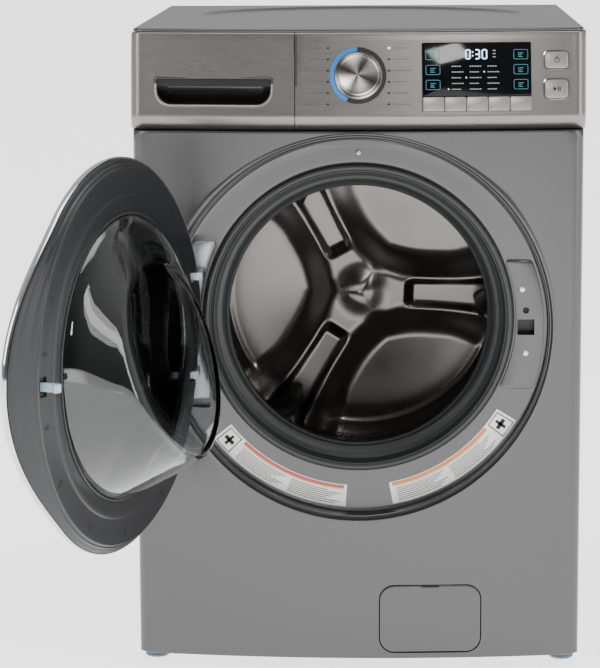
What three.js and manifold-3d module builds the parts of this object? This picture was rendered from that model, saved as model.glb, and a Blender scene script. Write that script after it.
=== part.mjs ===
// Front load washing machine as a three.js scene: one named mesh for each physical piece.
// Millimetres, +Z up, the front faces -Y, and the underside of the base pan lies on Z = 0.

import * as THREE from "three";
import { mergeVertices } from "three/addons/utils/BufferGeometryUtils.js";
import Module from "manifold-3d";

const wasm = await Module();
wasm.setup();

// ---- Driving dimensions -------------------------------------------------------------------

// Cabinet
const cabinetWidth = 686;
const cabinetHeight = 970; // underside of the base pan to the worktop
const cabinetDepth = 745; // front corners to the rear sheet
const frontBow = 30; // the front's middle stands this far ahead of its corners
const cornerRadius = 18;
const sheet = 2;
const pieceGap = 0.3; // between pieces that touch
const frameReturn = 22; // depth of the front panel's folded rim behind the corners
const worktopEdge = 5;
const worktopSkirt = 25;
const panWall = 18;

// Feet
const footDrop = 20;
const footInset = 24; // from the cabinet's side to the foot's axis
const footSetback = 46; // from the front corners, and from the rear sheet
const footRadius = 19;
const footStemRadius = 6;
const footStemTop = 30;
const runningClearance = 0.6;

// Control fascia
const fasciaHeight = 147; // lip to top edge
const fasciaLip = 18; // height of the lip that tucks back under the face
const fasciaLipSetback = 14;
const fasciaLean = THREE.MathUtils.degToRad(8.5);
const fasciaProud = 3; // stands out past the cabinet's front and sides
const fasciaDepth = 50; // from the front corners to its back edge
const plastic = 3;
const fasciaSeam = 1.2;

// Drawer
const drawerWidth = 252; // fascia's left edge to the drawer's seam
const handleWidth = 176;
const handleHeight = 40;
const handleInset = 40; // fascia's left edge to the handle recess
const handleRise = 38; // fascia's lip to the handle recess
const handlePocketBack = 20; // from the front corners to the back of the recess
const trayDepth = 285;
const trayHeight = 78;
const trayInset = 28; // fascia's left edge to the tray
const trayWall = 2;
const trayClearance = 2;
const housingWall = 2;

// Controls on the fascia: across from the middle, and up from the fascia's lip
const knobAcross = 1;
const knobRise = 83;
const knobRadius = 32;
const knobSkirtRadius = 35;
const knobHeight = 25;
const knobStemRadius = 3.5;
const displayLeft = 97;
const displayWidth = 165;
const displayBottom = 51;
const displayHeight = 81;
const keyCount = 5;
const keyHeight = 22;
const keyGap = 0.8;
const buttonAcross = 300;
const buttonWidth = 36;
const powerRise = 104;
const powerHeight = 25;
const startRise = 61;
const startHeight = 28;
const buttonProud = 1.5;
const buttonThickness = 7;

// Door opening
const doorCentreZ = 514;
const recessRadius = 297;
const recessFloorSetback = 2; // behind the front corners
const mouthCentreZ = 528;
const mouthRadius = 232;
const mouthFlange = 16;
const pocketHeight = 270;
const pocketSetback = 24.5; // hinge pocket floor, behind the front corners
const lockAcross = 257;
const lockSlotWidth = 26;
const lockSlotHeight = 24;
const lockPadProud = 5;

// Door, drawn closed and then opened
const doorOpenAngle = THREE.MathUtils.degToRad(110);
const doorRadius = 288;
const doorBump = 34; // grab bulge at the free edge
const doorBumpHalfAngle = THREE.MathUtils.degToRad(50);
const gripLift = 12; // the bulge stands this much further forward
const doorFaceLead = 11.5; // inner face ahead of the front corners
const doorEdge = 22; // inner face to the trim ring's front
const trimDepth = 10;
const trimWidth = 9;
const doorDome = 18;
const hingeAcross = -255;
const hingeLead = 22; // hinge axis ahead of the front corners
const hingePinRadius = 3;
const hingeEyeRadius = 5.5;
const earThickness = 12;
const earSpacing = 150;
const glassRadius = 206;
const glassFlangeRadius = 222;
const glassThickness = 4;
const bowlDepth = 80; // inner face to the middle of the bowl's end
const bowlSkew = 38; // the end's lower edge reaches this much deeper than its middle
const bowlDrop = 4; // the end's middle below the flange's
const latchLength = 26;

// Tub and drum, in the tub's own frame: Y along the axis from the mouth, tilted to the rear
const tubTilt = THREE.MathUtils.degToRad(3);
const tubSetback = 50; // mouth behind the front corners
const tubCentreZ = 526;
const tubRadius = 279;
const tubWall = 4;
const tubFrontFace = 12;
const tubSplit = 190;
const tubBackFace = 436;
const collarRadius = 216;
const collarWall = 4;
const throatRadius = 197;
const gasketLipRadius = 236.5;
const gasketWall = 4;
const drumRadius = 252;
const drumWall = 2;
const drumMouthRadius = 202;
const drumFront = 30;
const drumBackFace = 380;
const spiderDepth = 34;
const spiderHubRadius = 42;
const shaftRadius = 15;
const bearingWidth = 16;
const bearingRadius = 34;
const bearingBossRadius = 48;
const bearingBossLength = 56;
const pulleyRadius = 150;
const pulleyWidth = 16;
const motorPulleyRadius = 12;
const motorDrop = 352; // tub axis to motor axis
const motorRadius = 58;
const motorLength = 150;
const beltThickness = 3;
const lifterCount = 3;
const lifterHeight = 62;
const lifterSeat = 1.5; // between the drum's wall and the lifter's back
const lifterHalfAngle = THREE.MathUtils.degToRad(8.5);
const springSetback = 290; // along the tub from its mouth
const damperSetback = 200;
const firstLifterAngle = THREE.MathUtils.degToRad(118);

const sumpY = 235; // along the tub from its mouth
const coilRadius = 14;
const springHookRadius = 3;
const springHookGap = 0.7; // hook to the side panel's flange
const springInset = 28; // cabinet's side to the spring's upper hook
const damperBodyRadius = 12;
const damperRodRadius = 6;
const damperInset = 90; // cabinet's side to the damper's foot

// Rear sheet
const accessRadius = 150;
const accessCentreZ = 500;
const accessLap = 14;
const accessDish = 10;
const glandRadius = 13;
const glandAcross = 250;
const portRadius = 12;
const valvePorts = [-262, -212];
const serviceZ = 895;

// Drain
const pumpBack = 118; // behind the front corners
const hatchLeft = 33;
const hatchWidth = 157;
const hatchBottom = 6;
const hatchHeight = 107;
const hatchCorner = 23;
const hatchGap = 1;
const filterAcross = 104;
const filterCentreZ = 60;
const filterRadius = 30;

// Round surfaces' sides
const coarse = 16;
const medium = 24;
const fine = 40;

// ---- Derived places -----------------------------------------------------------------------

const halfWidth = cabinetWidth / 2;
const frontY = -cabinetDepth / 2; // plane of the front corners
const rearY = cabinetDepth / 2;
const bowRadius = (halfWidth ** 2 + frontBow ** 2) / (2 * frontBow);
const fasciaTop = cabinetHeight - worktopEdge - pieceGap;
const fasciaBottom = fasciaTop - fasciaHeight;
const fasciaHalfWidth = halfWidth + fasciaProud;
const fasciaLeft = -fasciaHalfWidth;
const drawerSeam = fasciaLeft + drawerWidth;
const fasciaBack = frontY + fasciaDepth;
const panelTop = fasciaBottom - 1;
const panelBottom = -4;
const frameY = frontY + frameReturn; // back edge of the front panel's rim
const recessFloorY = frontY + recessFloorSetback;
const pocketFloorY = frontY + pocketSetback;
const tubMouthY = frontY + tubSetback;
const doorFaceY = frontY - doorFaceLead;
const doorFrontY = doorFaceY - doorEdge;
const trimBackY = doorFrontY + trimDepth;
const hingeY = frontY - hingeLead;
const earCentreZ = doorCentreZ + 7;
const earPlaces = [-earSpacing / 2, earSpacing / 2].map((offset) => earCentreZ + offset);
const trayLeft = fasciaLeft + trayInset;
const trayRight = drawerSeam - 14;
const trayBottom = fasciaBottom + 18;
const webFrontY = fasciaBack - 22;
const displayAcross = displayLeft + displayWidth / 2;
const displayRise = displayBottom + displayHeight / 2;
const panFloor = sheet + 1;
const flangeUnderside = cabinetHeight - worktopSkirt - pieceGap - 3 * sheet;
const bearingSeatY = tubBackFace - tubWall - 2;
const rearBearingY = tubBackFace + bearingBossLength - bearingWidth - 4;
const pulleyY = tubBackFace + bearingBossLength + 4;

// ---- Solids -------------------------------------------------------------------------------

/** Closed three.js geometry as a solid with its faces pointing out. */
function solid(geometry) {
  const bare = geometry.clone();
  bare.deleteAttribute("normal");
  bare.deleteAttribute("uv");
  const merged = mergeVertices(bare, 1e-3);
  const position = merged.attributes.position;
  const index = Array.from(merged.index.array);
  const triVerts = [];
  const corners = [new THREE.Vector3(), new THREE.Vector3(), new THREE.Vector3()];
  let volume = 0;
  for (let i = 0; i < index.length; i += 3) {
    const triple = index.slice(i, i + 3);
    if (new Set(triple).size < 3) continue;
    triVerts.push(...triple);
    corners.forEach((corner, k) => corner.fromBufferAttribute(position, triple[k]));
    volume += corners[0].dot(corners[1].clone().cross(corners[2]));
  }
  if (volume < 0) triVerts.reverse();
  const vertProperties = new Float32Array(position.array);
  const mesh = new wasm.Mesh({ numProp: 3, vertProperties, triVerts: new Uint32Array(triVerts) });
  mesh.merge();
  return new wasm.Manifold(mesh);
}

function geometryOf(body) {
  const mesh = body.getMesh();
  const geometry = new THREE.BufferGeometry();
  geometry.setAttribute("position", new THREE.BufferAttribute(mesh.vertProperties, 3));
  geometry.setIndex(new THREE.BufferAttribute(mesh.triVerts, 1));
  geometry.computeVertexNormals();
  return geometry;
}

const cut = (body, ...tools) => tools.reduce((left, tool) => left.subtract(tool), body);
const join = (body, ...others) => others.reduce((sum, other) => sum.add(other), body);

function box(x0, x1, y0, y1, z0, z1) {
  const geometry = new THREE.BoxGeometry(x1 - x0, y1 - y0, z1 - z0);
  geometry.translate((x0 + x1) / 2, (y0 + y1) / 2, (z0 + z1) / 2);
  return solid(geometry);
}

/** Cylinder with its axis along Y, centred on x and z. */
function rodY(radius, y0, y1, x = 0, z = 0, sides = medium) {
  const geometry = new THREE.CylinderGeometry(radius, radius, y1 - y0, sides);
  geometry.translate(x, (y0 + y1) / 2, z);
  return solid(geometry);
}

function rodZ(radius, z0, z1, x = 0, y = 0, sides = coarse) {
  const geometry = new THREE.CylinderGeometry(radius, radius, z1 - z0, sides);
  geometry.rotateX(Math.PI / 2);
  geometry.translate(x, y, (z0 + z1) / 2);
  return solid(geometry);
}

/** Solid of revolution about Y from [radius, y] points; a profile off the axis closes on itself. */
function turned(points, sides = fine) {
  const profile = points.map(([radius, y]) => new THREE.Vector2(radius, y));
  const onAxis = points[0][0] === 0 && points[points.length - 1][0] === 0;
  if (!onAxis) profile.push(profile[0].clone());
  return solid(new THREE.LatheGeometry(profile, sides));
}

/** Outline in X and Y, extruded upwards. */
function prismZ(shape, z0, z1, curveSegments = 8) {
  const options = { depth: z1 - z0, bevelEnabled: false, curveSegments };
  const geometry = new THREE.ExtrudeGeometry(shape, options);
  geometry.translate(0, 0, z0);
  return solid(geometry);
}

/** Outline in X and Z, extruded from y0 back to y1. */
function prismY(shape, y0, y1, curveSegments = 8) {
  const options = { depth: y1 - y0, bevelEnabled: false, curveSegments };
  const geometry = new THREE.ExtrudeGeometry(shape, options);
  geometry.rotateX(Math.PI / 2);
  geometry.translate(0, y1, 0);
  return solid(geometry);
}

/** Outline in Y and Z, extruded from x0 to x1. */
function prismX(points, x0, x1) {
  const shape = new THREE.Shape(points.map(([y, z]) => new THREE.Vector2(y, z)));
  const geometry = new THREE.ExtrudeGeometry(shape, { depth: x1 - x0, bevelEnabled: false });
  geometry.applyMatrix4(new THREE.Matrix4().set(0, 0, 1, x0, 1, 0, 0, 0, 0, 1, 0, 0, 0, 0, 0, 1));
  return solid(geometry);
}

/** Skin through closed rings of equal count, with a flat fan over each end. */
function loft(rings) {
  const count = rings[0].length;
  const vertices = rings.flat().flatMap((point) => [point.x, point.y, point.z]);
  const index = [];
  for (let r = 0; r < rings.length - 1; r += 1) {
    for (let i = 0; i < count; i += 1) {
      const a = r * count + i;
      const b = r * count + ((i + 1) % count);
      index.push(a, b, a + count, b, b + count, a + count);
    }
  }
  for (const [ring, forward] of [[0, false], [rings.length - 1, true]]) {
    const middle = vertices.length / 3;
    const centre = new THREE.Vector3();
    rings[ring].forEach((point) => centre.add(point));
    centre.divideScalar(count);
    vertices.push(centre.x, centre.y, centre.z);
    for (let i = 0; i < count; i += 1) {
      const a = ring * count + i;
      const b = ring * count + ((i + 1) % count);
      index.push(...(forward ? [a, b, middle] : [b, a, middle]));
    }
  }
  const geometry = new THREE.BufferGeometry();
  geometry.setAttribute("position", new THREE.Float32BufferAttribute(vertices, 3));
  geometry.setIndex(index);
  return solid(geometry);
}

/** Rounded rectangle by its left, bottom, width, height and corner radius. */
function roundedRect(left, bottom, width, height, radius) {
  const right = left + width;
  const top = bottom + height;
  const shape = new THREE.Shape();
  shape.absarc(right - radius, bottom + radius, radius, -Math.PI / 2, 0);
  shape.absarc(right - radius, top - radius, radius, 0, Math.PI / 2);
  shape.absarc(left + radius, top - radius, radius, Math.PI / 2, Math.PI);
  shape.absarc(left + radius, bottom + radius, radius, Math.PI, Math.PI * 1.5);
  return shape;
}

// ---- Bowed front --------------------------------------------------------------------------

/** How far the bowed front stands back from its foremost line at x. */
const bowAt = (x) => bowRadius - Math.sqrt(bowRadius ** 2 - x ** 2);
const frontAt = (x) => frontY - frontBow + bowAt(x);

/** Plan of a bowed piece: its front arc with rounded corners, and a straight back. */
function bowedPlan(halfSpan, setback, backY, z, radius = cornerRadius, arcSteps = 20) {
  const points = [];
  const reach = halfSpan - radius;
  for (let i = 0; i <= arcSteps; i += 1) {
    const x = -reach + (2 * reach * i) / arcSteps;
    points.push(new THREE.Vector3(x, frontAt(x) + setback, z));
  }
  const cornerSteps = 4;
  const cornerY = frontAt(reach) + setback + radius;
  for (let i = 1; i <= cornerSteps; i += 1) {
    const turn = (Math.PI / 2) * (i / cornerSteps);
    const x = reach + radius * Math.sin(turn);
    points.push(new THREE.Vector3(x, cornerY - radius * Math.cos(turn), z));
  }
  points.push(new THREE.Vector3(halfSpan, backY, z));
  points.push(new THREE.Vector3(-halfSpan, backY, z));
  for (let i = cornerSteps; i >= 1; i -= 1) {
    const turn = (Math.PI / 2) * (i / cornerSteps);
    const x = -reach - radius * Math.sin(turn);
    points.push(new THREE.Vector3(x, cornerY - radius * Math.cos(turn), z));
  }
  return points;
}

/** Setback of the fascia's face at height z. */
function fasciaSetback(z) {
  const faceBottom = fasciaBottom + fasciaLip;
  if (z < faceBottom) return -fasciaProud + (fasciaLipSetback * (faceBottom - z)) / fasciaLip;
  return -fasciaProud + (z - faceBottom) * Math.tan(fasciaLean);
}

/** The fascia's block, moved in by a wall on every side but the back. */
function fasciaBlock(wall, backY) {
  const levels = [fasciaBottom + wall, fasciaBottom + fasciaLip, fasciaTop - wall];
  const rings = levels.map((z) =>
    bowedPlan(fasciaHalfWidth - wall, fasciaSetback(z) + wall, backY, z, cornerRadius - wall));
  return loft(rings);
}

/** Group standing on the fascia's face: its -Y points straight out of the face. */
function onFascia(across, rise) {
  const z = fasciaBottom + rise;
  const group = new THREE.Group();
  group.position.set(across, frontAt(across) + fasciaSetback(z), z);
  group.rotation.set(-fasciaLean, 0, Math.asin(across / bowRadius), "ZXY");
  return group;
}

/** A solid drawn on a group's own axes, moved to where the group stands. */
function placed(body, group) {
  const geometry = geometryOf(body);
  group.updateMatrix();
  geometry.applyMatrix4(group.matrix);
  return solid(geometry);
}

// ---- Materials ----------------------------------------------------------------------------

function finish(color, roughness, metalness) {
  return new THREE.MeshStandardMaterial({ color, roughness, metalness });
}

const finishes = {
  paintedSteel: () => finish(0x7d7e80, 0.4, 0.5),
  brushedFascia: () => finish(0x8f8b86, 0.35, 0.7),
  blackGloss: () => finish(0x0c0d10, 0.12, 0),
  blackPlastic: () => finish(0x1b1c1e, 0.5, 0),
  chrome: () => finish(0xd0d2d4, 0.1, 1),
  galvanised: () => finish(0xb4b8ba, 0.4, 0.9),
  stainless: () => finish(0x9c9894, 0.28, 1),
  rubber: () => finish(0x6c7679, 0.7, 0),
  tubPlastic: () => finish(0xcfd0ce, 0.6, 0),
  whitePlastic: () => finish(0xe4e4e0, 0.5, 0),
  concrete: () => finish(0x8c8a85, 0.9, 0),
  castAluminium: () => finish(0xa7a9ab, 0.5, 0.8),
  darkSteel: () => finish(0x4b4d50, 0.45, 0.9),
  belt: () => finish(0x18181a, 0.8, 0),
  glass: () => finish(0xdde4e6, 0.05, 0),
  boardGreen: () => finish(0x2c5b3a, 0.6, 0),
  footPlastic: () => finish(0x5b6f80, 0.6, 0),
  keyPlastic: () => finish(0x9a9794, 0.4, 0.3),
  latchPlastic: () => finish(0xa9bac6, 0.45, 0),
};

const group = new THREE.Group();

function addPiece(parent, name, body, material) {
  const mesh = new THREE.Mesh(geometryOf(body), material);
  mesh.name = name;
  parent.add(mesh);
  return mesh;
}

// ---- Cabinet ------------------------------------------------------------------------------

function sidePanel(side) {
  const top = cabinetHeight - worktopSkirt - pieceGap;
  const outline = [
    [frameY + pieceGap, 0],
    [rearY - sheet - pieceGap, 0],
    [rearY - sheet - pieceGap, top],
    [fasciaBack + pieceGap, top],
    [fasciaBack + pieceGap, panelTop + pieceGap],
    [frameY + pieceGap, panelTop + pieceGap],
  ];
  const wall = prismX(outline, halfWidth - sheet, halfWidth);
  const frontEdge = frameY + pieceGap;
  const frontFlange = box(halfWidth - 26, halfWidth, frontEdge, frontEdge + sheet, 0, panelTop);
  const rearEdge = rearY - sheet - pieceGap;
  const rearFlange = box(halfWidth - 20, halfWidth, rearEdge - sheet, rearEdge, 0, top);
  const springY = tubMouthY + springSetback;
  const springBracket = box(halfWidth - 44, halfWidth, springY - 25, springY + 25, top - 6, top);
  const panel = join(wall, frontFlange, rearFlange, springBracket);
  return side > 0 ? panel : panel.mirror([1, 0, 0]);
}

function basePan() {
  const outer = halfWidth - sheet - pieceGap;
  const front = frameY + pieceGap + sheet + pieceGap;
  const back = rearY - 2 * sheet - 2 * pieceGap;
  const pan = box(-outer, outer, front, back, 0, panWall);
  const hollow = box(-outer + sheet, outer - sheet, front + sheet, back - sheet, panFloor, panWall + 1);
  const holes = footPlaces().map(([x, y]) => rodZ(footStemRadius + runningClearance, -1, panWall, x, y));
  return cut(pan, hollow, ...holes);
}

function rearPanel() {
  const outline = roundedRect(-halfWidth, 0, cabinetWidth, cabinetHeight - worktopSkirt - pieceGap, 3);
  const plate = prismY(outline, rearY - sheet, rearY);
  const coverHole = rodY(accessRadius, rearY - 9, rearY + 9, 0, accessCentreZ, fine);
  const glandHole = rodY(glandRadius + pieceGap, rearY - 9, rearY + 9, glandAcross, serviceZ, coarse);
  const portHoles = valvePorts.map((x) =>
    rodY(portRadius + pieceGap, rearY - 9, rearY + 9, x, serviceZ, coarse));
  return cut(plate, coverHole, glandHole, ...portHoles);
}

function rearAccessCover() {
  const outer = accessRadius + accessLap;
  const skin = rearY + pieceGap;
  const dish = accessRadius - 6;
  return turned([
    [0, skin - accessDish], [dish - 8, skin - accessDish], [dish, skin], [outer, skin],
    [outer, skin + sheet], [dish - 1, skin + sheet], [dish - 9, skin - accessDish + sheet],
    [0, skin - accessDish + sheet],
  ]);
}

function hatchOutline(grow) {
  return roundedRect(hatchLeft - grow, hatchBottom - grow, hatchWidth + 2 * grow,
    hatchHeight + 2 * grow, hatchCorner + grow);
}

/** Hinge pocket at the left of the mouth, clear of the gasket. */
function hingePocket(wall) {
  const left = -recessRadius - 3 + wall;
  const half = pocketHeight / 2 - wall;
  const region = box(left, hingeAcross + 40, frontY - frontBow, pocketFloorY - wall,
    earCentreZ - half, earCentreZ + half);
  return cut(region, rodY(gasketLipRadius + 3 + wall, frontY - frontBow, rearY, 0, mouthCentreZ, fine));
}

function frontPanel() {
  const levels = (wall) => [panelBottom + wall, panelTop - wall];
  const block = (wall, backY) => loft(levels(wall).map((z) =>
    bowedPlan(halfWidth - wall, wall, backY, z, cornerRadius - wall)));
  const recess = (wall) =>
    rodY(recessRadius - wall, frontY - frontBow - 9, recessFloorY - wall, 0, doorCentreZ, fine);
  const outside = cut(block(0, frameY), recess(0), hingePocket(0));
  const throatWall = rodY(mouthRadius + sheet, frontY - frontBow, recessFloorY + mouthFlange, 0,
    mouthCentreZ, fine);
  const inside = cut(block(sheet, frameY + 9), recess(-sheet), hingePocket(-sheet), throatWall);
  const mouth = rodY(mouthRadius, frontY - frontBow - 9, rearY, 0, mouthCentreZ, fine);
  const hatchHole = prismY(hatchOutline(hatchGap), frontY - frontBow - 9, frameY + 9, 5);
  const pad = prismY(roundedRect(lockAcross - 17, mouthCentreZ - 110, 44, 200, 12),
    recessFloorY - lockPadProud, recessFloorY + sheet / 2, 3);
  const padClear = cut(pad, rodY(gasketLipRadius + 2, frontY - frontBow, rearY, 0, mouthCentreZ, fine));
  const padInRecess = padClear.intersect(rodY(recessRadius + 1, frontY - frontBow, rearY, 0,
    doorCentreZ, fine));
  const slot = box(lockAcross - lockSlotWidth / 2, lockAcross + lockSlotWidth / 2,
    frontY - frontBow, frameY, doorCentreZ - lockSlotHeight / 2, doorCentreZ + lockSlotHeight / 2);
  return cut(join(cut(outside, inside), padInRecess), mouth, hatchHole, slot);
}

function topPanel() {
  const setback = fasciaSetback(fasciaTop) + 4;
  const span = halfWidth;
  const plate = loft([cabinetHeight - worktopEdge, cabinetHeight].map((z) =>
    bowedPlan(span, setback, rearY, z)));
  const pocket = loft([cabinetHeight - worktopEdge - 1, cabinetHeight - sheet].map((z) =>
    bowedPlan(span - sheet, setback + sheet, rearY - sheet, z, cornerRadius - sheet)));
  const skirtFront = fasciaBack + pieceGap;
  const skirtLow = cabinetHeight - worktopSkirt;
  const skirtHigh = cabinetHeight - worktopEdge + 1;
  const skirt = cut(
    box(-span, span, skirtFront, rearY, skirtLow, skirtHigh),
    box(-span + sheet, span - sheet, skirtFront + sheet, rearY - sheet, skirtLow - 1, skirtHigh + 1),
  );
  return join(cut(plate, pocket), skirt);
}

// ---- Fascia and what it carries -----------------------------------------------------------

function trayWindow(grow) {
  return [trayLeft - grow, trayRight + grow, trayBottom - grow, trayBottom + trayHeight + grow];
}

function controlFascia() {
  const shell = cut(fasciaBlock(0, fasciaBack), fasciaBlock(plastic, fasciaBack + 9));
  const right = cut(shell, box(-halfWidth * 2, drawerSeam, frontY - 99, fasciaBack + 99, 0, cabinetHeight));
  const web = box(fasciaLeft + 10, drawerSeam + plastic + 1, webFrontY, webFrontY + plastic,
    fasciaBottom + 4, fasciaTop - 4);
  const [x0, x1, z0, z1] = trayWindow(trayClearance);
  const window = box(x0, x1, webFrontY - 9, webFrontY + 9, z0, z1);
  const sideWall = box(drawerSeam, drawerSeam + plastic, frontY - frontBow + 15, fasciaBack,
    fasciaBottom + 4, fasciaTop - 2);
  const trimmedWall = sideWall.intersect(fasciaBlock(1, fasciaBack));
  const holes = [
    placed(rodY(knobStemRadius + runningClearance, -20, 20, 0, 0, 16), onFascia(knobAcross, knobRise)),
    displayOpening(),
    buttonOpening(powerRise, powerHeight),
    buttonOpening(startRise, startHeight),
  ];
  return cut(join(right, cut(web, window), trimmedWall), ...holes);
}

function displayOpening() {
  const bottom = displayBottom - keyHeight - displayRise;
  const outline = roundedRect(-displayWidth / 2 - pieceGap, bottom - pieceGap,
    displayWidth + 2 * pieceGap, displayHeight + keyHeight + 2 * pieceGap, 1.5);
  return placed(prismY(outline, -20, 12, 3), onFascia(displayAcross, displayRise));
}

function buttonOpening(rise, height) {
  const outline = roundedRect(-buttonWidth / 2 - runningClearance, -height / 2 - runningClearance,
    buttonWidth + 2 * runningClearance, height + 2 * runningClearance, 6);
  return placed(prismY(outline, -20, 12, 3), onFascia(buttonAcross, rise));
}

function addDisplayAndKeys() {
  const panel = onFascia(displayAcross, displayRise);
  const lens = prismY(roundedRect(-displayWidth / 2, -displayHeight / 2 + keyGap / 2, displayWidth,
    displayHeight - keyGap / 2, 5), -1, plastic, 3);
  addPiece(panel, "display_window", lens, finishes.blackGloss());
  const keyWidth = displayWidth / keyCount;
  for (let i = 0; i < keyCount; i += 1) {
    const key = prismY(roundedRect(-keyWidth / 2 + keyGap / 2, -keyHeight / 2, keyWidth - keyGap,
      keyHeight - keyGap, 2), -1.5, plastic, 2);
    const mesh = addPiece(panel, `option_key_${i + 1}`, key, finishes.keyPlastic());
    mesh.position.set(-displayWidth / 2 + keyWidth * (i + 0.5), 0, -(displayHeight + keyHeight) / 2);
  }
  group.add(panel);
}

function addPushButton(name, rise, height) {
  const spot = onFascia(buttonAcross, rise);
  const outline = roundedRect(-buttonWidth / 2, -height / 2, buttonWidth, height, 6);
  addPiece(spot, name, prismY(outline, -buttonProud, buttonThickness - buttonProud, 3),
    finishes.keyPlastic());
  group.add(spot);
}

function addProgramKnob() {
  const spot = onFascia(knobAcross, knobRise);
  const knob = turned([
    [0, -knobHeight], [knobRadius - 3, -knobHeight], [knobRadius, -knobHeight + 3],
    [knobRadius + 0.6, -5], [knobSkirtRadius, -4], [knobSkirtRadius, -1], [knobStemRadius, -1],
    [knobStemRadius, 12], [0, 12],
  ], medium);
  addPiece(spot, "program_knob", knob, finishes.stainless());
  group.add(spot);
}

function controlBoard() {
  const boardY = fasciaBack - 24;
  const left = displayLeft - 30;
  const board = box(left, left + 250, boardY, boardY + 2, fasciaBottom + 12, fasciaTop - 16);
  const relay = box(left + 20, left + 60, boardY - 12, boardY + 1, fasciaBottom + 20, fasciaBottom + 60);
  const display = box(left + 40, left + 180, boardY - 8, boardY + 1, fasciaBottom + 70, fasciaTop - 25);
  return join(board, relay, display);
}

// ---- Detergent drawer ---------------------------------------------------------------------

function drawerFront() {
  const shell = cut(fasciaBlock(0, fasciaBack), fasciaBlock(plastic, fasciaBack + 9));
  const edge = drawerSeam - fasciaSeam;
  const left = shell.intersect(box(-halfWidth * 2, edge, frontY - 99, webFrontY - 1, 0, cabinetHeight));
  const sideWall = box(edge - plastic, edge, frontY - frontBow, webFrontY - 1, fasciaBottom, fasciaTop)
    .intersect(fasciaBlock(1, fasciaBack));
  const x0 = fasciaLeft + handleInset;
  const z0 = fasciaBottom + handleRise;
  const back = frontY + handlePocketBack;
  const cup = box(x0 - plastic, x0 + handleWidth + plastic, frontY - frontBow, back + plastic,
    z0 - plastic, z0 + handleHeight + plastic).intersect(fasciaBlock(1, fasciaBack));
  const recess = prismY(roundedRect(x0, z0, handleWidth, handleHeight, 12), frontY - 99, back, 4);
  return cut(join(left, sideWall, cup), recess);
}

function drawerTray() {
  const [x0, x1, z0, z1] = trayWindow(0);
  const y0 = webFrontY - 0.7;
  const y1 = y0 + trayDepth;
  const split = x0 + (x1 - x0) * 0.62;
  const top = z1 + 1;
  const main = box(x0 + trayWall, split, y0 + trayWall, y1 - trayWall, z0 + trayWall, top);
  const softener = box(split + trayWall, x1 - trayWall, y0 + trayWall, y1 - trayWall, z0 + trayWall, top);
  const splitY = (y0 + y1) / 2;
  const bar = box(x0, split + 1, splitY, splitY + trayWall, z0, z1 - 16);
  return join(cut(box(x0, x1, y0, y1, z0, z1), main, softener), bar);
}

function dispenserHousing() {
  const grow = trayClearance + housingWall;
  const [x0, x1, z0, z1] = trayWindow(grow);
  const y0 = webFrontY + plastic + pieceGap;
  const y1 = webFrontY + trayDepth + grow;
  const room = box(x0 + housingWall, x1 - housingWall, y0 - 1, y1 - housingWall, z0 + housingWall,
    z1 - housingWall);
  return cut(box(x0, x1, y0, y1, z0, z1), room);
}

function inletValve() {
  const inside = rearY - sheet - pieceGap;
  const body = box(valvePorts[0] - 20, valvePorts[1] + 20, inside - 45, inside,
    serviceZ - 18, serviceZ + 18);
  const ports = valvePorts.map((x) => rodY(portRadius, inside - 5, rearY + 22, x, serviceZ, coarse));
  const coils = valvePorts.map((x) => rodZ(14, serviceZ - 58, serviceZ - 10, x, inside - 24, 16));
  return join(body, ...ports, ...coils);
}

function mainsInlet() {
  return turned([
    [0, rearY - 14], [glandRadius, rearY - 14], [glandRadius, rearY + pieceGap],
    [glandRadius + 4, rearY + pieceGap], [glandRadius + 4, rearY + 4], [9, rearY + 14], [5, rearY + 14],
    [5, rearY + 4], [0, rearY + 4],
  ], coarse);
}

// ---- Door lock, hinge and gasket ----------------------------------------------------------

function doorLock() {
  const front = recessFloorY + sheet + pieceGap;
  const half = lockSlotWidth / 2;
  const body = box(lockAcross - half - 5, lockAcross + half + 5, front, front + 26, doorCentreZ - 50,
    doorCentreZ + 50);
  const slot = box(lockAcross - half, lockAcross + half, front - 1, front + 22,
    doorCentreZ - lockSlotHeight / 2, doorCentreZ + lockSlotHeight / 2);
  return cut(body, slot);
}

/** Outline of a hinge ear: out of the pocket beside the axis, then over to it. */
function earOutline() {
  const x = hingeAcross;
  const y = hingeY;
  const eye = hingeEyeRadius;
  const reach = pocketFloorY - 2;
  const shape = new THREE.Shape();
  shape.moveTo(x + 19, reach);
  shape.lineTo(x + 19, y + 1);
  shape.lineTo(x + 11, y - eye);
  shape.absarc(x, y, eye, -Math.PI / 2, Math.PI / 2, true);
  shape.lineTo(x + 12, y + eye);
  shape.lineTo(x + 12, reach);
  return shape;
}

function hingeBracket() {
  const plateBack = pocketFloorY - pieceGap;
  const plateHalf = pocketHeight / 2 - 12;
  const plate = box(-recessRadius + 6, hingeAcross + 40, plateBack - 3, plateBack, earCentreZ - plateHalf,
    earCentreZ + plateHalf);
  const trimmed = cut(plate, rodY(gasketLipRadius + 6, frontY, rearY, 0, mouthCentreZ, fine));
  const ears = earPlaces.map((z) => prismZ(earOutline(), z - earThickness / 2, z + earThickness / 2, 6));
  const pinHole = rodZ(hingePinRadius + runningClearance / 2, 0, cabinetHeight, hingeAcross, hingeY, 16);
  return cut(join(trimmed, ...ears), pinHole);
}

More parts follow.
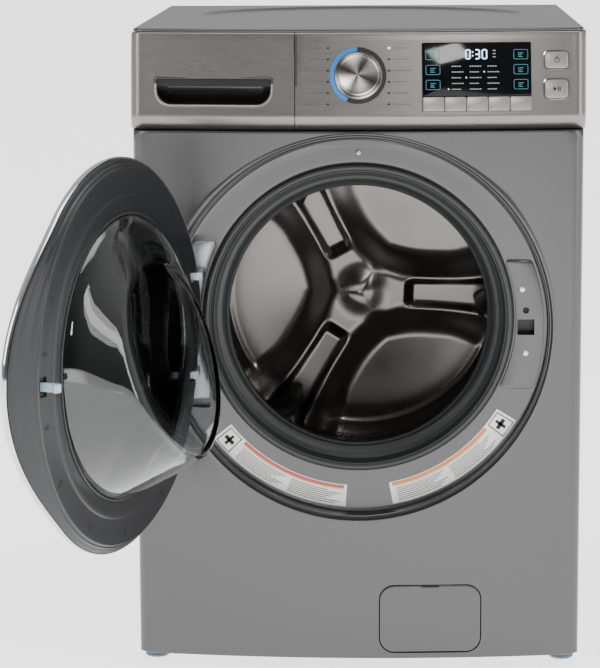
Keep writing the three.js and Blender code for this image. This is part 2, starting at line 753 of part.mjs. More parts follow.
/** Bellows from the front panel's mouth, turned as if level and then led to the tilted tub. */
function doorGasket() {
  const lip = recessFloorY - 0.4;
  const collarIn = collarRadius + pieceGap;
  const neck = mouthRadius - 0.7;
  const rear = tubMouthY;
  const body = turned([
    [gasketLipRadius, lip], [gasketLipRadius, lip - 7], [gasketLipRadius - 3.5, lip - 10],
    [gasketLipRadius - 9.5, lip - 10], [neck - gasketWall - 2, lip - 7], [neck - gasketWall - 2, lip + 19],
    [throatRadius + 2, rear - 7.5], [throatRadius - 0.5, rear - 2.5], [throatRadius + 1, rear + 1.1],
    [collarIn, rear + 1.1], [collarIn, rear + 11], [collarIn + gasketWall, rear + 11],
    [collarIn + gasketWall, rear - 2.5], [throatRadius + 6.5, rear - 3], [neck, lip + 22], [neck, lip],
  ]);
  const geometry = geometryOf(body);
  const position = geometry.attributes.position;
  const point = new THREE.Vector3();
  const onPanel = new THREE.Vector3();
  for (let i = 0; i < position.count; i += 1) {
    point.fromBufferAttribute(position, i);
    const follow = THREE.MathUtils.smoothstep(point.y, lip + 19, rear - 7.5);
    onPanel.set(point.x, point.y, point.z + mouthCentreZ);
    point.y -= rear;
    point.applyAxisAngle(new THREE.Vector3(1, 0, 0), -tubTilt);
    point.add(new THREE.Vector3(0, rear, tubCentreZ));
    onPanel.lerp(point, follow);
    position.setXYZ(i, onPanel.x, onPanel.y, onPanel.z);
  }
  return solid(geometry);
}

// ---- Door ---------------------------------------------------------------------------------

/** Ring about the door's axis at depth y, with the grab bulge at the free edge. */
function doorRing(radius, y, bump = doorBump) {
  const points = [];
  for (let i = 0; i < fine; i += 1) {
    const turn = (2 * Math.PI * i) / fine;
    const away = Math.abs(Math.atan2(Math.sin(turn), Math.cos(turn)));
    const share = away < doorBumpHalfAngle ? 0.5 + 0.5 * Math.cos((Math.PI * away) / doorBumpHalfAngle) : 0;
    const reach = radius + bump * share;
    const forward = (gripLift * share * bump) / doorBump;
    points.push(new THREE.Vector3(reach * Math.cos(turn), y - forward, reach * Math.sin(turn)));
  }
  return points;
}

/** Plain ring of the glass bowl, lowered by drop and leaning so that its lower edge is deeper. */
function bowlRing(radius, y, drop = 0, skew = 0) {
  const points = [];
  for (let i = 0; i < fine; i += 1) {
    const turn = (2 * Math.PI * i) / fine;
    points.push(new THREE.Vector3(radius * Math.cos(turn), y - skew * Math.sin(turn),
      radius * Math.sin(turn) - drop));
  }
  return points;
}

function doorInnerFrame() {
  const face = doorFaceY;
  const back = trimBackY + pieceGap;
  const rim = doorRadius - trimWidth / 3;
  const outer = loft([
    doorRing(rim - 13, face, 0), doorRing(rim - 9, face - 2, 0), doorRing(rim, back),
  ]);
  const hollow = loft([
    doorRing(rim - 16, face - plastic, 0), doorRing(rim - 12, face - plastic - 2, 0),
    doorRing(rim - plastic, back - 9),
  ]);
  const opening = rodY(glassRadius + runningClearance, face - 60, face + 9, 0, 0, fine);
  const notches = earPlaces.map((z) => box(-doorRadius - 9, hingeAcross + 24, hingeY - 9, face + 9,
    z - doorCentreZ - earThickness / 2 - 2, z - doorCentreZ + earThickness / 2 + 2));
  const hook = box(lockAcross - 6, lockAcross + 10, face - 9, face + 9, -14, 14);
  return cut(outer, hollow, opening, hook, ...notches);
}

function doorTrimRing() {
  const outer = loft([doorRing(doorRadius, trimBackY), doorRing(doorRadius, doorFrontY)]);
  const inside = doorRadius - trimWidth;
  const inner = loft([doorRing(inside, trimBackY + 30), doorRing(inside, doorFrontY - 30)]);
  return cut(outer, inner);
}

function doorCover() {
  const radius = doorRadius - trimWidth - pieceGap;
  const domed = (wall, back) => loft([
    doorRing(radius - wall, back),
    doorRing(radius - wall, doorFrontY + 2 + wall),
    doorRing(radius - 26, doorFrontY - doorDome * 0.4 + wall, doorBump * 0.7),
    doorRing(radius - 80, doorFrontY - doorDome * 0.75 + wall, doorBump * 0.2),
    doorRing(radius - 160, doorFrontY - doorDome * 0.95 + wall, 0),
    doorRing(40, doorFrontY - doorDome + wall, 0),
  ]);
  return cut(domed(0, trimBackY - 1), domed(plastic, trimBackY + 9));
}

function doorGlass() {
  const seat = doorFaceY - plastic - pieceGap;
  const face = doorFaceY;
  const bowl = (wall) => [
    bowlRing(glassRadius - wall, seat - 6 - wall * 2),
    bowlRing(glassRadius - wall, face + 6),
    bowlRing(glassRadius - 10 - wall, face + bowlDepth * 0.27, bowlDrop * 0.1, bowlSkew * 0.2),
    bowlRing(glassRadius - 32 - wall, face + bowlDepth * 0.56, bowlDrop * 0.4, bowlSkew * 0.52),
    bowlRing(glassRadius - 54 - wall, face + bowlDepth * 0.84 - wall / 2, bowlDrop * 0.8, bowlSkew * 0.84),
    bowlRing(glassRadius - 68 - wall, face + bowlDepth * 0.97 - wall, bowlDrop, bowlSkew),
    bowlRing(glassRadius - 102 - wall, face + bowlDepth - wall, bowlDrop, bowlSkew * 0.8),
  ];
  const flange = rodY(glassFlangeRadius, seat - 6, seat, 0, 0, fine);
  return cut(join(loft(bowl(0)), flange), loft(bowl(glassThickness)));
}

function hingeArm() {
  const low = earPlaces[0] - doorCentreZ;
  const high = earPlaces[1] - doorCentreZ;
  const x = hingeAcross;
  const inside = earThickness / 2 + 1;
  const barrel = rodZ(hingeEyeRadius, low + inside, high - inside, x, hingeY, 16);
  const pinEnd = earThickness / 2 + 1.5;
  const pin = rodZ(hingePinRadius, low - pinEnd, high + pinEnd, x, hingeY, 16);
  const leaf = box(x, x + 24, hingeY - 4, hingeY + 4, low + inside, high - inside);
  return join(barrel, pin, leaf);
}

/** Claw on the free edge, drawn about its own pivot. */
function latchHook() {
  const root = doorFaceY - 7;
  const stem = box(-3, 3, root, doorFaceY + latchLength, -6, 6);
  const claw = box(-3, 8, doorFaceY + latchLength - 8, doorFaceY + latchLength, -6, 6);
  return join(stem, claw);
}

function addDoor() {
  const door = new THREE.Group();
  door.position.set(hingeAcross, hingeY, doorCentreZ);
  door.rotation.z = -doorOpenAngle;
  const closed = new THREE.Group();
  closed.position.set(-hingeAcross, -hingeY, 0);
  door.add(closed);
  addPiece(closed, "door_inner_frame", doorInnerFrame(), finishes.blackPlastic());
  addPiece(closed, "door_trim_ring", doorTrimRing(), finishes.chrome());
  addPiece(closed, "door_cover", doorCover(), finishes.blackGloss());
  addPiece(closed, "door_glass", doorGlass(), finishes.glass());
  addPiece(closed, "hinge_arm", hingeArm(), finishes.galvanised());
  const hook = addPiece(closed, "latch_hook", latchHook(), finishes.latchPlastic());
  hook.position.x = lockAcross;
  group.add(door);
}

// ---- Tub, drum and drive ------------------------------------------------------------------

function tubFront() {
  const inner = tubRadius - tubWall;
  return turned([
    [collarRadius - collarWall, 2], [collarRadius - collarWall, tubFrontFace + tubWall],
    [inner, tubFrontFace + tubWall], [inner, tubSplit], [tubRadius + 8, tubSplit],
    [tubRadius + 8, tubSplit - 6], [tubRadius, tubSplit - 6], [tubRadius, tubFrontFace + 4],
    [tubRadius - 4, tubFrontFace], [collarRadius, tubFrontFace], [collarRadius, 2],
  ]);
}

function tubRear() {
  const inner = tubRadius - tubWall;
  const start = tubSplit + pieceGap;
  const seat = bearingRadius + pieceGap;
  const bossEnd = tubBackFace + bearingBossLength;
  const web = shaftRadius + 6;
  const body = turned([
    [inner, start], [inner, tubBackFace - tubWall], [bearingBossRadius, tubBackFace - tubWall],
    [bearingBossRadius, bearingSeatY], [seat, bearingSeatY], [seat, bearingSeatY + bearingWidth + pieceGap],
    [web, bearingSeatY + bearingWidth + pieceGap], [web, rearBearingY - pieceGap],
    [seat, rearBearingY - pieceGap], [seat, bossEnd], [bearingBossRadius, bossEnd],
    [bearingBossRadius, tubBackFace], [tubRadius, tubBackFace], [tubRadius, start + 6],
    [tubRadius + 8, start + 6], [tubRadius + 8, start],
  ]);
  const lug = box(-34, 34, tubBackFace - motorLength + 30, tubBackFace - 30, -motorDrop + motorRadius + 2,
    -tubRadius + 5);
  const sump = rodZ(40, -tubRadius - 16, -tubRadius + 12, 0, sumpY, coarse);
  const drain = rodZ(20, -tubRadius - 30, -tubRadius + 30, 0, sumpY, coarse);
  const bore = rodZ(16, -tubRadius - 40, -tubRadius + 30, 0, sumpY, coarse);
  return cut(join(body, lug, sump.subtract(rodY(tubRadius - 1, 0, tubBackFace, 0, 0, fine)),
    drain.subtract(rodY(tubRadius - 1, 0, tubBackFace, 0, 0, fine))), bore);
}

function arcBlock(inner, outer, from, to, y0, y1) {
  const shape = new THREE.Shape();
  shape.absarc(0, 0, outer, from, to, false);
  shape.absarc(0, 0, inner, to, from, true);
  return prismY(shape, y0, y1, 16);
}

function counterweightFront() {
  return arcBlock(gasketLipRadius, tubRadius + 14, THREE.MathUtils.degToRad(-62),
    THREE.MathUtils.degToRad(242), -14, tubFrontFace - pieceGap);
}

function counterweightTop() {
  return arcBlock(tubRadius + 1, tubRadius + 26, THREE.MathUtils.degToRad(63),
    THREE.MathUtils.degToRad(117), tubSplit + 14, tubSplit + 130);
}

function bearing(y) {
  const bore = shaftRadius + runningClearance / 3;
  return turned([
    [bore, y], [bearingRadius, y], [bearingRadius, y + bearingWidth], [bore, y + bearingWidth],
  ], medium);
}

function drumShell() {
  const inner = drumRadius - drumWall;
  return turned([
    [drumMouthRadius, drumFront - 6], [drumMouthRadius + 10, drumFront], [inner - 8, drumFront + 2],
    [inner, drumFront + 10], [inner, drumBackFace + 6], [drumRadius, drumBackFace + 6],
    [drumRadius, drumFront + 9], [inner - 7, drumFront], [drumMouthRadius + 10, drumFront - 2.5],
    [drumMouthRadius, drumFront - 8.5],
  ]);
}

function drumBack() {
  const rim = drumRadius - drumWall - pieceGap;
  return turned([
    [0, drumBackFace], [rim - 26, drumBackFace], [rim, drumBackFace - 8], [rim, drumBackFace - 5],
    [rim - 25, drumBackFace + drumWall], [0, drumBackFace + drumWall],
  ]);
}

function drumSpider() {
  const start = drumBackFace + drumWall + pieceGap;
  const hub = rodY(spiderHubRadius, start, start + spiderDepth, 0, 0, coarse);
  const arms = [];
  for (let i = 0; i < lifterCount; i += 1) {
    const arm = box(0, drumRadius - 14, start, start + spiderDepth * 0.6, -17, 17);
    const turn = -firstLifterAngle + (2 * Math.PI * i) / lifterCount;
    arms.push(arm.rotate([0, THREE.MathUtils.radToDeg(turn), 0]));
  }
  const shaft = rodY(shaftRadius, start, pulleyY + pulleyWidth + 8, 0, 0, coarse);
  return join(hub, ...arms, shaft);
}

function drumPulley() {
  const bore = shaftRadius + pieceGap;
  const rimInner = pulleyRadius - 8;
  const webY = pulleyY + pulleyWidth / 2 - 3;
  const wheel = turned([
    [bore, pulleyY], [bore, pulleyY + pulleyWidth], [30, pulleyY + pulleyWidth], [30, webY + 6],
    [rimInner, webY + 6], [rimInner, pulleyY + pulleyWidth], [pulleyRadius, pulleyY + pulleyWidth],
    [pulleyRadius, pulleyY], [rimInner, pulleyY], [rimInner, webY], [30, webY], [30, pulleyY],
  ]);
  const holes = [];
  for (let i = 0; i < 5; i += 1) {
    const turn = (2 * Math.PI * i) / 5;
    holes.push(rodY(30, pulleyY, pulleyY + pulleyWidth, 88 * Math.cos(turn), 88 * Math.sin(turn), 16));
  }
  return cut(wheel, ...holes);
}

/** Plan of a belt round both pulleys, `grow` outside their rims. */
function beltOutline(grow) {
  const big = pulleyRadius + grow;
  const small = motorPulleyRadius + grow;
  const lean = Math.asin((pulleyRadius - motorPulleyRadius) / motorDrop);
  const shape = new THREE.Shape();
  shape.absarc(0, 0, big, -lean, Math.PI + lean, false);
  shape.absarc(0, -motorDrop, small, Math.PI + lean, 2 * Math.PI - lean, false);
  return shape;
}

function driveBelt() {
  const y0 = pulleyY + 1;
  const y1 = pulleyY + pulleyWidth - 1;
  const outside = prismY(beltOutline(pieceGap + beltThickness), y0, y1, 24);
  return cut(outside, prismY(beltOutline(pieceGap), y0 - 1, y1 + 1, 24));
}

function motorBody() {
  const y1 = tubBackFace + 20;
  const can = rodY(motorRadius, y1 - motorLength, y1, 0, -motorDrop, coarse);
  const nose = rodY(26, y1 - 1, pulleyY - 6, 0, -motorDrop, coarse);
  const bore = rodY(7, y1 - 40, pulleyY, 0, -motorDrop, 16);
  return cut(join(can, nose), bore);
}

function motorPulley() {
  return turned([
    [0, pulleyY - 40], [6, pulleyY - 40], [6, pulleyY - 2], [motorPulleyRadius, pulleyY - 2],
    [motorPulleyRadius, pulleyY + pulleyWidth + 2], [0, pulleyY + pulleyWidth + 2],
  ], coarse);
}

/** Lifter with its back on the drum's wall and its ridge towards the axis, at angle 0. */
function lifter() {
  const base = drumRadius - drumWall - lifterSeat;
  const ridge = base - lifterHeight;
  const shape = new THREE.Shape();
  shape.absarc(0, 0, base, -lifterHalfAngle, lifterHalfAngle, false);
  shape.quadraticCurveTo(ridge + 18, 13, ridge + 3, 9);
  shape.quadraticCurveTo(ridge - 3, 0, ridge + 3, -9);
  shape.quadraticCurveTo(ridge + 18, -13,
    base * Math.cos(lifterHalfAngle), -base * Math.sin(lifterHalfAngle));
  return prismY(shape, drumFront + 22, drumBackFace - 14, 5);
}

function addTub() {
  const tub = new THREE.Group();
  tub.position.set(0, tubMouthY, tubCentreZ);
  tub.rotation.x = -tubTilt;
  addPiece(tub, "tub_front", tubFront(), finishes.tubPlastic());
  addPiece(tub, "tub_rear", tubRear(), finishes.tubPlastic());
  addPiece(tub, "counterweight_front", counterweightFront(), finishes.concrete());
  addPiece(tub, "counterweight_top", counterweightTop(), finishes.concrete());
  addPiece(tub, "bearing_front", bearing(bearingSeatY), finishes.darkSteel());
  addPiece(tub, "bearing_rear", bearing(rearBearingY), finishes.darkSteel());
  addPiece(tub, "motor", motorBody(), finishes.darkSteel());
  addPiece(tub, "drive_belt", driveBelt(), finishes.belt());
  addPiece(tub, "drum_shell", drumShell(), finishes.stainless());
  addPiece(tub, "drum_back", drumBack(), finishes.stainless());
  addPiece(tub, "drum_spider", drumSpider(), finishes.castAluminium());
  addPiece(tub, "drum_pulley", drumPulley(), finishes.castAluminium());
  const rotor = addPiece(tub, "motor_pulley", motorPulley(), finishes.darkSteel());
  rotor.position.z = -motorDrop;
  for (let i = 0; i < lifterCount; i += 1) {
    const mesh = addPiece(tub, `lifter_${i + 1}`, lifter(), finishes.blackPlastic());
    mesh.rotation.y = -firstLifterAngle + (2 * Math.PI * i) / lifterCount;
  }
  group.add(tub);
}

// ---- Suspension and drain -----------------------------------------------------------------

/** Round bar between two points. */
function addBar(name, from, to, profile, material) {
  const start = new THREE.Vector3(...from);
  const along = new THREE.Vector3(...to).sub(start);
  const length = along.length();
  const body = turned(profile(length), 16);
  const mesh = addPiece(group, name, body, material);
  mesh.position.copy(start);
  mesh.quaternion.setFromUnitVectors(new THREE.Vector3(0, 1, 0), along.normalize());
}

function addSuspension() {
  const springY = tubMouthY + springSetback;
  const springMiddle = tubCentreZ - springSetback * Math.sin(tubTilt);
  const damperY = tubMouthY + damperSetback;
  const damperMiddle = tubCentreZ - damperSetback * Math.sin(tubTilt);
  const diagonal = (tubRadius + 16) * Math.SQRT1_2;
  const springLow = springMiddle + diagonal;
  const springAcross = halfWidth - springInset;
  const springLean = Math.atan2(Math.abs(springAcross - diagonal), flangeUnderside - springLow);
  const springTop = flangeUnderside - springHookGap - springHookRadius * Math.sin(springLean);
  const damperHeadAcross = diagonal + 2;
  const damperTop = damperMiddle - diagonal - 4;
  const damperAcross = halfWidth - damperInset;
  const damperLean = Math.atan2(Math.abs(damperAcross - damperHeadAcross), damperTop - panFloor);
  const damperFoot = panFloor + pieceGap + damperBodyRadius * Math.sin(damperLean);
  const springProfile = (length) => [
    [0, 0], [springHookRadius, 0], [springHookRadius, 40], [coilRadius, 46], [coilRadius, length - 46],
    [springHookRadius, length - 40], [springHookRadius, length], [0, length],
  ];
  const damperProfile = (length) => [
    [0, 0], [damperBodyRadius, 0], [damperBodyRadius, length * 0.58], [damperRodRadius, length * 0.6],
    [damperRodRadius, length], [0, length],
  ];
  for (const [side, word] of [[-1, "left"], [1, "right"]]) {
    addBar(`suspension_spring_${word}`, [side * diagonal, springY, springLow],
      [side * springAcross, springY, springTop], springProfile, finishes.darkSteel());
    addBar(`damper_${word}`, [side * damperAcross, damperY, damperFoot],
      [side * damperHeadAcross, damperY, damperTop], damperProfile, finishes.tubPlastic());
  }
}

function drainPump() {
  const front = frontY + 34;
  const body = rodY(filterRadius + 6, front, front + pumpBack, filterAcross, filterCentreZ, coarse);
  const bore = rodY(filterRadius - 2, front - 1, front + 84, filterAcross, filterCentreZ, coarse);
  const wide = rodY(filterRadius + 1, front - 1, front + 14, filterAcross, filterCentreZ, coarse);
  const foot = box(filterAcross - 30, filterAcross + 30, front + 30, front + 100, sheet + 2,
    filterCentreZ - filterRadius);
  return cut(join(body, foot), bore, wide);
}

function pumpFilter() {
  const rim = filterRadius;
  const depth = 12;
  const body = turned([
    [0, -14], [rim - 4, -14], [rim, -11], [rim, depth], [rim - 4, depth], [rim - 4, 70], [0, 70],
  ], coarse);
  const grip = box(-5, 5, -26, -10, -rim + 8, rim - 8);
  return join(body, grip);
}

/** Corrugated boot from the tub's drain down towards the pump, standing clear of both. */
function sumpHose() {
  const points = [];
  const top = 38;
  for (let i = 0; i <= 8; i += 1) {
    points.push([i % 2 ? 24 : 19, -top * 0.5 + (top * i) / 8]);
  }
  const inner = [...points].reverse().map(([radius, y]) => [radius - 3, y]);
  return turned([...points, ...inner], 16);
}

function addDrain() {
  addPiece(group, "drain_pump", drainPump(), finishes.blackPlastic());
  const filter = addPiece(group, "pump_filter", pumpFilter(), finishes.footPlastic());
  filter.position.set(filterAcross, frontY + 34, filterCentreZ);
  const hose = addPiece(group, "sump_hose", sumpHose(), finishes.rubber());
  const drop = tubRadius + 30 + 21;
  hose.position.set(0, tubMouthY + sumpY * Math.cos(tubTilt) - drop * Math.sin(tubTilt),
    tubCentreZ - drop * Math.cos(tubTilt) - sumpY * Math.sin(tubTilt));
  hose.rotation.x = Math.PI / 2 - tubTilt;
}

// ---- Hatch and feet -----------------------------------------------------------------------

function filterHatch() {
  const outer = loft([hatchBottom - 9, hatchBottom + hatchHeight + 9].map((z) =>
    bowedPlan(halfWidth, 0, frameY, z)));
  const inner = loft([hatchBottom - 19, hatchBottom + hatchHeight + 19].map((z) =>
    bowedPlan(halfWidth - plastic, plastic, frameY + 9, z, cornerRadius - plastic)));
  return cut(outer, inner).intersect(prismY(hatchOutline(0), frontY - 99, frameY, 5));
}

function footPlaces() {
  const x = halfWidth - footInset;
  return [[-x, frontY + footSetback], [x, frontY + footSetback], [-x, rearY - footSetback],
    [x, rearY - footSetback]];
}

function foot() {
  const stem = footStemRadius;
  return turned([
    [0, 0], [footRadius - 2, 0], [footRadius, 3], [footRadius - 1, 8], [stem + 4, 11], [stem + 4, 17],
    [stem, 18], [stem, footDrop + footStemTop], [0, footDrop + footStemTop],
  ], coarse);
}

function addFeet() {
  const names = ["foot_front_left", "foot_front_right", "foot_rear_left", "foot_rear_right"];
  footPlaces().forEach(([x, y], i) => {
    const mesh = addPiece(group, names[i], foot(), finishes.footPlastic());
    mesh.position.set(x, y, -footDrop);
    mesh.rotation.x = Math.PI / 2;
  });
}

// ---- Assembly -----------------------------------------------------------------------------

addPiece(group, "side_panel_left", sidePanel(-1), finishes.paintedSteel());
addPiece(group, "side_panel_right", sidePanel(1), finishes.paintedSteel());
addPiece(group, "base_pan", basePan(), finishes.galvanised());
addPiece(group, "rear_panel", rearPanel(), finishes.paintedSteel());
addPiece(group, "rear_access_cover", rearAccessCover(), finishes.paintedSteel()).position.z = accessCentreZ;
addPiece(group, "front_panel", frontPanel(), finishes.paintedSteel());
addPiece(group, "top_panel", topPanel(), finishes.paintedSteel());
addPiece(group, "control_fascia", controlFascia(), finishes.brushedFascia());
addDisplayAndKeys();
addPushButton("power_button", powerRise, powerHeight);
addPushButton("start_button", startRise, startHeight);
addProgramKnob();
addPiece(group, "control_board", controlBoard(), finishes.boardGreen());
addPiece(group, "drawer_front", drawerFront(), finishes.brushedFascia());
addPiece(group, "drawer_tray", drawerTray(), finishes.whitePlastic());
addPiece(group, "dispenser_housing", dispenserHousing(), finishes.whitePlastic());
addPiece(group, "inlet_valve", inletValve(), finishes.whitePlastic());
addPiece(group, "mains_inlet", mainsInlet(), finishes.blackPlastic()).position.set(glandAcross, 0, serviceZ);
addPiece(group, "door_lock", doorLock(), finishes.blackPlastic());
addPiece(group, "hinge_bracket", hingeBracket(), finishes.galvanised());
addPiece(group, "door_gasket", doorGasket(), finishes.rubber());
addDoor();
addTub();
addSuspension();
addDrain();
addPiece(group, "filter_hatch", filterHatch(), finishes.paintedSteel());
addFeet();

export default group;
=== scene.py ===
"""Front load washing machine: the finished surfaces around its CAD frame, in metres.

Sizes in this file are millimetres, in the frame's own axes: X to the right, the front faces -Y, Z up.
"""

import math

import bmesh
import bpy
from mathutils import Matrix, Vector


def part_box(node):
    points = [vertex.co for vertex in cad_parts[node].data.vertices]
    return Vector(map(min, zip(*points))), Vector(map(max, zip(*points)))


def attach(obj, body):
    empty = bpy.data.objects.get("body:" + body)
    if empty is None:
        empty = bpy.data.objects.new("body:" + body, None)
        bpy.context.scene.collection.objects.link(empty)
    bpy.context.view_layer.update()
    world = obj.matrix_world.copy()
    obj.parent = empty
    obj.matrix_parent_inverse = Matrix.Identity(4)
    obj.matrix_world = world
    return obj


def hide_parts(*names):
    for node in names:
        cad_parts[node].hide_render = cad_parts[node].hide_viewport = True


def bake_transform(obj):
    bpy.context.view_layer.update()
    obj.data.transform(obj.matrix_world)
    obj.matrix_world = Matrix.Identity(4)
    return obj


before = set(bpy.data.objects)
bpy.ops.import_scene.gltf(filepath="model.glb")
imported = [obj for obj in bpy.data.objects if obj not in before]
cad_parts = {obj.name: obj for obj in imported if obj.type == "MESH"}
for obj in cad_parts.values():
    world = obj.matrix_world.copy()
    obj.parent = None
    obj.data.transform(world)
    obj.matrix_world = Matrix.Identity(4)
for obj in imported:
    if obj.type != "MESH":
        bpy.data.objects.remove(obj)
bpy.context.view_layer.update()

# ---- Sizes --------------------------------------------------------------------------------

MM = 0.001
HALF_WIDTH = 343
FRONT = -372.5  # plane of the front corners
REAR = 372.5
BOW = 30  # the front's middle stands this far ahead of its corners
BOW_RADIUS = (HALF_WIDTH ** 2 + BOW ** 2) / (2 * BOW)
CORNER = 18
TOP = 970
FASCIA_LOW, FASCIA_HIGH = 817.7, 964.7
FASCIA_HALF = 346
FASCIA_BACK = -322.5
FACE_LOW = FASCIA_LOW + 18
LEAN = math.radians(8.5)
SEAM = -94
PANEL_LOW, PANEL_HIGH = -4, 816.7
PANEL_BACK = -350.5
RECESS_Z = 514
MOUTH_Z = 528
FLOOR = -370.5  # floor of the round recess
POCKET_FLOOR = -348
HINGE = Vector((-255, -394.5, 0))
OPEN = math.radians(-110)
DOOR_FACE, DOOR_FRONT, TRIM_BACK = -384, -406, -396
DOOR_RADIUS = 288
GLASS_RADIUS = 206
FLANGE_RADIUS = 222
TUB_MOUTH = -322.5
TUB_Z = 526
TUB_TILT = math.radians(3)
DRUM_FRONT, DRUM_BACK = 30, 380
DRUM_INNER = 250
ARM_ANGLES = [math.radians(118), math.radians(-2), math.radians(238)]
KNOB_SPOT = (1, 83)  # across from the middle, and up from the fascia's lip
DISPLAY_SPOT = (179.5, 91.5)
BUTTON_ACROSS = 300
BUTTONS = (("power", 104, 25), ("start", 61, 28))  # name, rise and height
EAR_HEIGHTS = (446, 596)  # the hinge's two ears
LOCK_ACROSS = 257
LOCK_SLOT = (244, 270, -420, -330, 502, 526)
LOCK_SENSOR = (LOCK_ACROSS, 540)
SENSOR_RADIUS = 5
SERVICE_Z = 895  # hose ports and cord gland
PORTS_ACROSS = (-262, -212)
GLAND_ACROSS = 250
COVER_Z = 500
GRIP = 34.0  # the door's grab bulge
GRIP_LIFT = 12  # the bulge comes this much further forward
GRIP_HALF = math.radians(50)
FOOT_ACROSS, FOOT_ALONG = 319, 326.5

# ---- Mesh helpers -------------------------------------------------------------------------


def shape(points, faces):
    """Closed mesh object from points in millimetres, with its faces pointing out."""
    mesh = bpy.data.meshes.new("shape")
    mesh.from_pydata([Vector(p) * MM for p in points], [], faces)
    form = bmesh.new()
    form.from_mesh(mesh)
    bmesh.ops.remove_doubles(form, verts=form.verts, dist=1e-6)
    bmesh.ops.recalc_face_normals(form, faces=form.faces)
    form.to_mesh(mesh)
    form.free()
    obj = bpy.data.objects.new("shape", mesh)
    bpy.context.scene.collection.objects.link(obj)
    return obj


def loft(rings, loop=False, cap=True):
    """Skin through rings of equal count. A loop joins the last ring to the first."""
    count = len(rings[0])
    faces = []
    for k in range(len(rings) if loop else len(rings) - 1):
        a, b = k * count, ((k + 1) % len(rings)) * count
        faces += [(a + i, a + (i + 1) % count, b + (i + 1) % count, b + i) for i in range(count)]
    if cap and not loop:
        last = (len(rings) - 1) * count
        faces += [tuple(range(count)), tuple(range(last, last + count))]
    return shape([p for ring in rings for p in ring], faces)


def moved(rings, matrix):
    """The rings in another frame."""
    return [[matrix @ Vector(p) for p in ring] for ring in rings]


def circle(radius, y, count=96, x=0, z=0):
    """Level ring about Y."""
    turns = [2 * math.pi * i / count for i in range(count)]
    return [(x + radius * math.cos(t), y, z + radius * math.sin(t)) for t in turns]


def prism(outline, y0, y1, matrix=Matrix()):
    """Straight solid along Y on an outline of X and Z points."""
    return loft(moved([[(x, y, z) for x, z in outline] for y in (y0, y1)], matrix))


def sector(inner, outer, start, end, steps):
    """Outline of a curved band between two angles in degrees."""
    turns = [math.radians(start + (end - start) * i / steps) for i in range(steps + 1)]
    outline = [(outer * math.cos(t), outer * math.sin(t)) for t in turns]
    return outline + [(inner * math.cos(t), inner * math.sin(t)) for t in reversed(turns)]


def rounding(radius, inset):
    """How far a quarter round has dropped at a distance in from its edge."""
    return radius - math.sqrt(max(radius ** 2 - (radius - min(inset, radius)) ** 2, 0))


def softened(profile, middle, steps, matrix=Matrix()):
    """Rings of an X and Y profile stacked along Z, drawn in towards its middle by each step's inset."""
    rings = []
    for inset, z in steps:
        ring = []
        for px, py in profile:
            pull = (middle - Vector((px, py))).normalized() * inset
            ring.append((px + pull.x, py + pull.y, z))
        rings.append(ring)
    return loft(moved(rings, matrix))


def turned(profile, matrix=Matrix(), count=96):
    """Solid of revolution about Y from (radius, y) points."""
    rings = moved([circle(r, y, count) for r, y in profile], matrix)
    on_axis = profile[0][0] == 0 and profile[-1][0] == 0
    return loft(rings, loop=not on_axis, cap=False)


def rounded(left, low, width, height, top_radius, low_radius=None, inset=0, steps=6):
    """Rounded rectangle in X and Z, moved in by inset."""
    low_radius = top_radius if low_radius is None else low_radius
    right, high = left + width - inset, low + height - inset
    left, low = left + inset, low + inset
    outline = []
    for cx, cz, radius, start in ((right, low, low_radius, -90), (right, high, top_radius, 0),
                                  (left, high, top_radius, 90), (left, low, low_radius, 180)):
        r = max(radius - inset, 0.05)
        mx = cx - r if cx == right else cx + r
        mz = cz + r if cz == low else cz - r
        for i in range(steps + 1):
            turn = math.radians(start + 90 * i / steps)
            outline.append((mx + r * math.cos(turn), mz + r * math.sin(turn)))
    return outline


def cushioned(outline, front, back, edge, matrix=Matrix()):
    """Plate whose front edge is rounded: outline(inset) gives its X and Z points."""
    steps = [(edge, front), (edge * 0.45, front + edge * 0.15), (edge * 0.15, front + edge * 0.45),
             (0, front + edge), (0, back)]
    return loft(moved([[(x, y, z) for x, z in outline(inset)] for inset, y in steps], matrix))


def block(x0, x1, y0, y1, z0, z1):
    return loft([[(x0, y, z0), (x1, y, z0), (x1, y, z1), (x0, y, z1)] for y in (y0, y1)])


def carve(body, tool, operation="DIFFERENCE"):
    """Boolean of two closed shapes. The tool is used up."""
    step = body.modifiers.new("carve", "BOOLEAN")
    step.operation = operation
    step.solver = "MANIFOLD"
    step.object = tool
    found = body.evaluated_get(bpy.context.evaluated_depsgraph_get())
    mesh = bpy.data.meshes.new_from_object(found)
    body.modifiers.clear()
    body.data = mesh
    bpy.data.objects.remove(tool)
    return body


def merged(name, parts):
    """Several closed shapes as one mesh object."""
    form = bmesh.new()
    for part in parts:
        form.from_mesh(part.data)
    mesh = bpy.data.meshes.new(name)
    form.to_mesh(mesh)
    form.free()
    for part in parts:
        bpy.data.objects.remove(part)
    obj = bpy.data.objects.new(name, mesh)
    bpy.context.scene.collection.objects.link(obj)
    return obj


def settle(obj, name, body, finish, stands_for=(), crease=32):
    """Names and shades a finished piece, gives it its material, which carries its slot, and its body, and
    hides the CAD nodes it stands for.
    """
    obj.name = name
    obj.data.name = name
    obj.data.materials.clear()
    obj.data.materials.append(finish)
    form = bmesh.new()
    form.from_mesh(obj.data)
    limit = math.radians(crease)
    for face in form.faces:
        face.smooth = True
        face.material_index = 0
    for edge in form.edges:
        edge.smooth = edge.calc_face_angle(0) < limit
    form.to_mesh(obj.data)
    form.free()
    if body:
        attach(obj, body)
    if stands_for:
        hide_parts(*stands_for)
    return obj


# ---- Shapes shared by several pieces ------------------------------------------------------


def bow(x):
    """The bowed front's Y at x."""
    return FRONT - BOW + BOW_RADIUS - math.sqrt(BOW_RADIUS ** 2 - x * x)


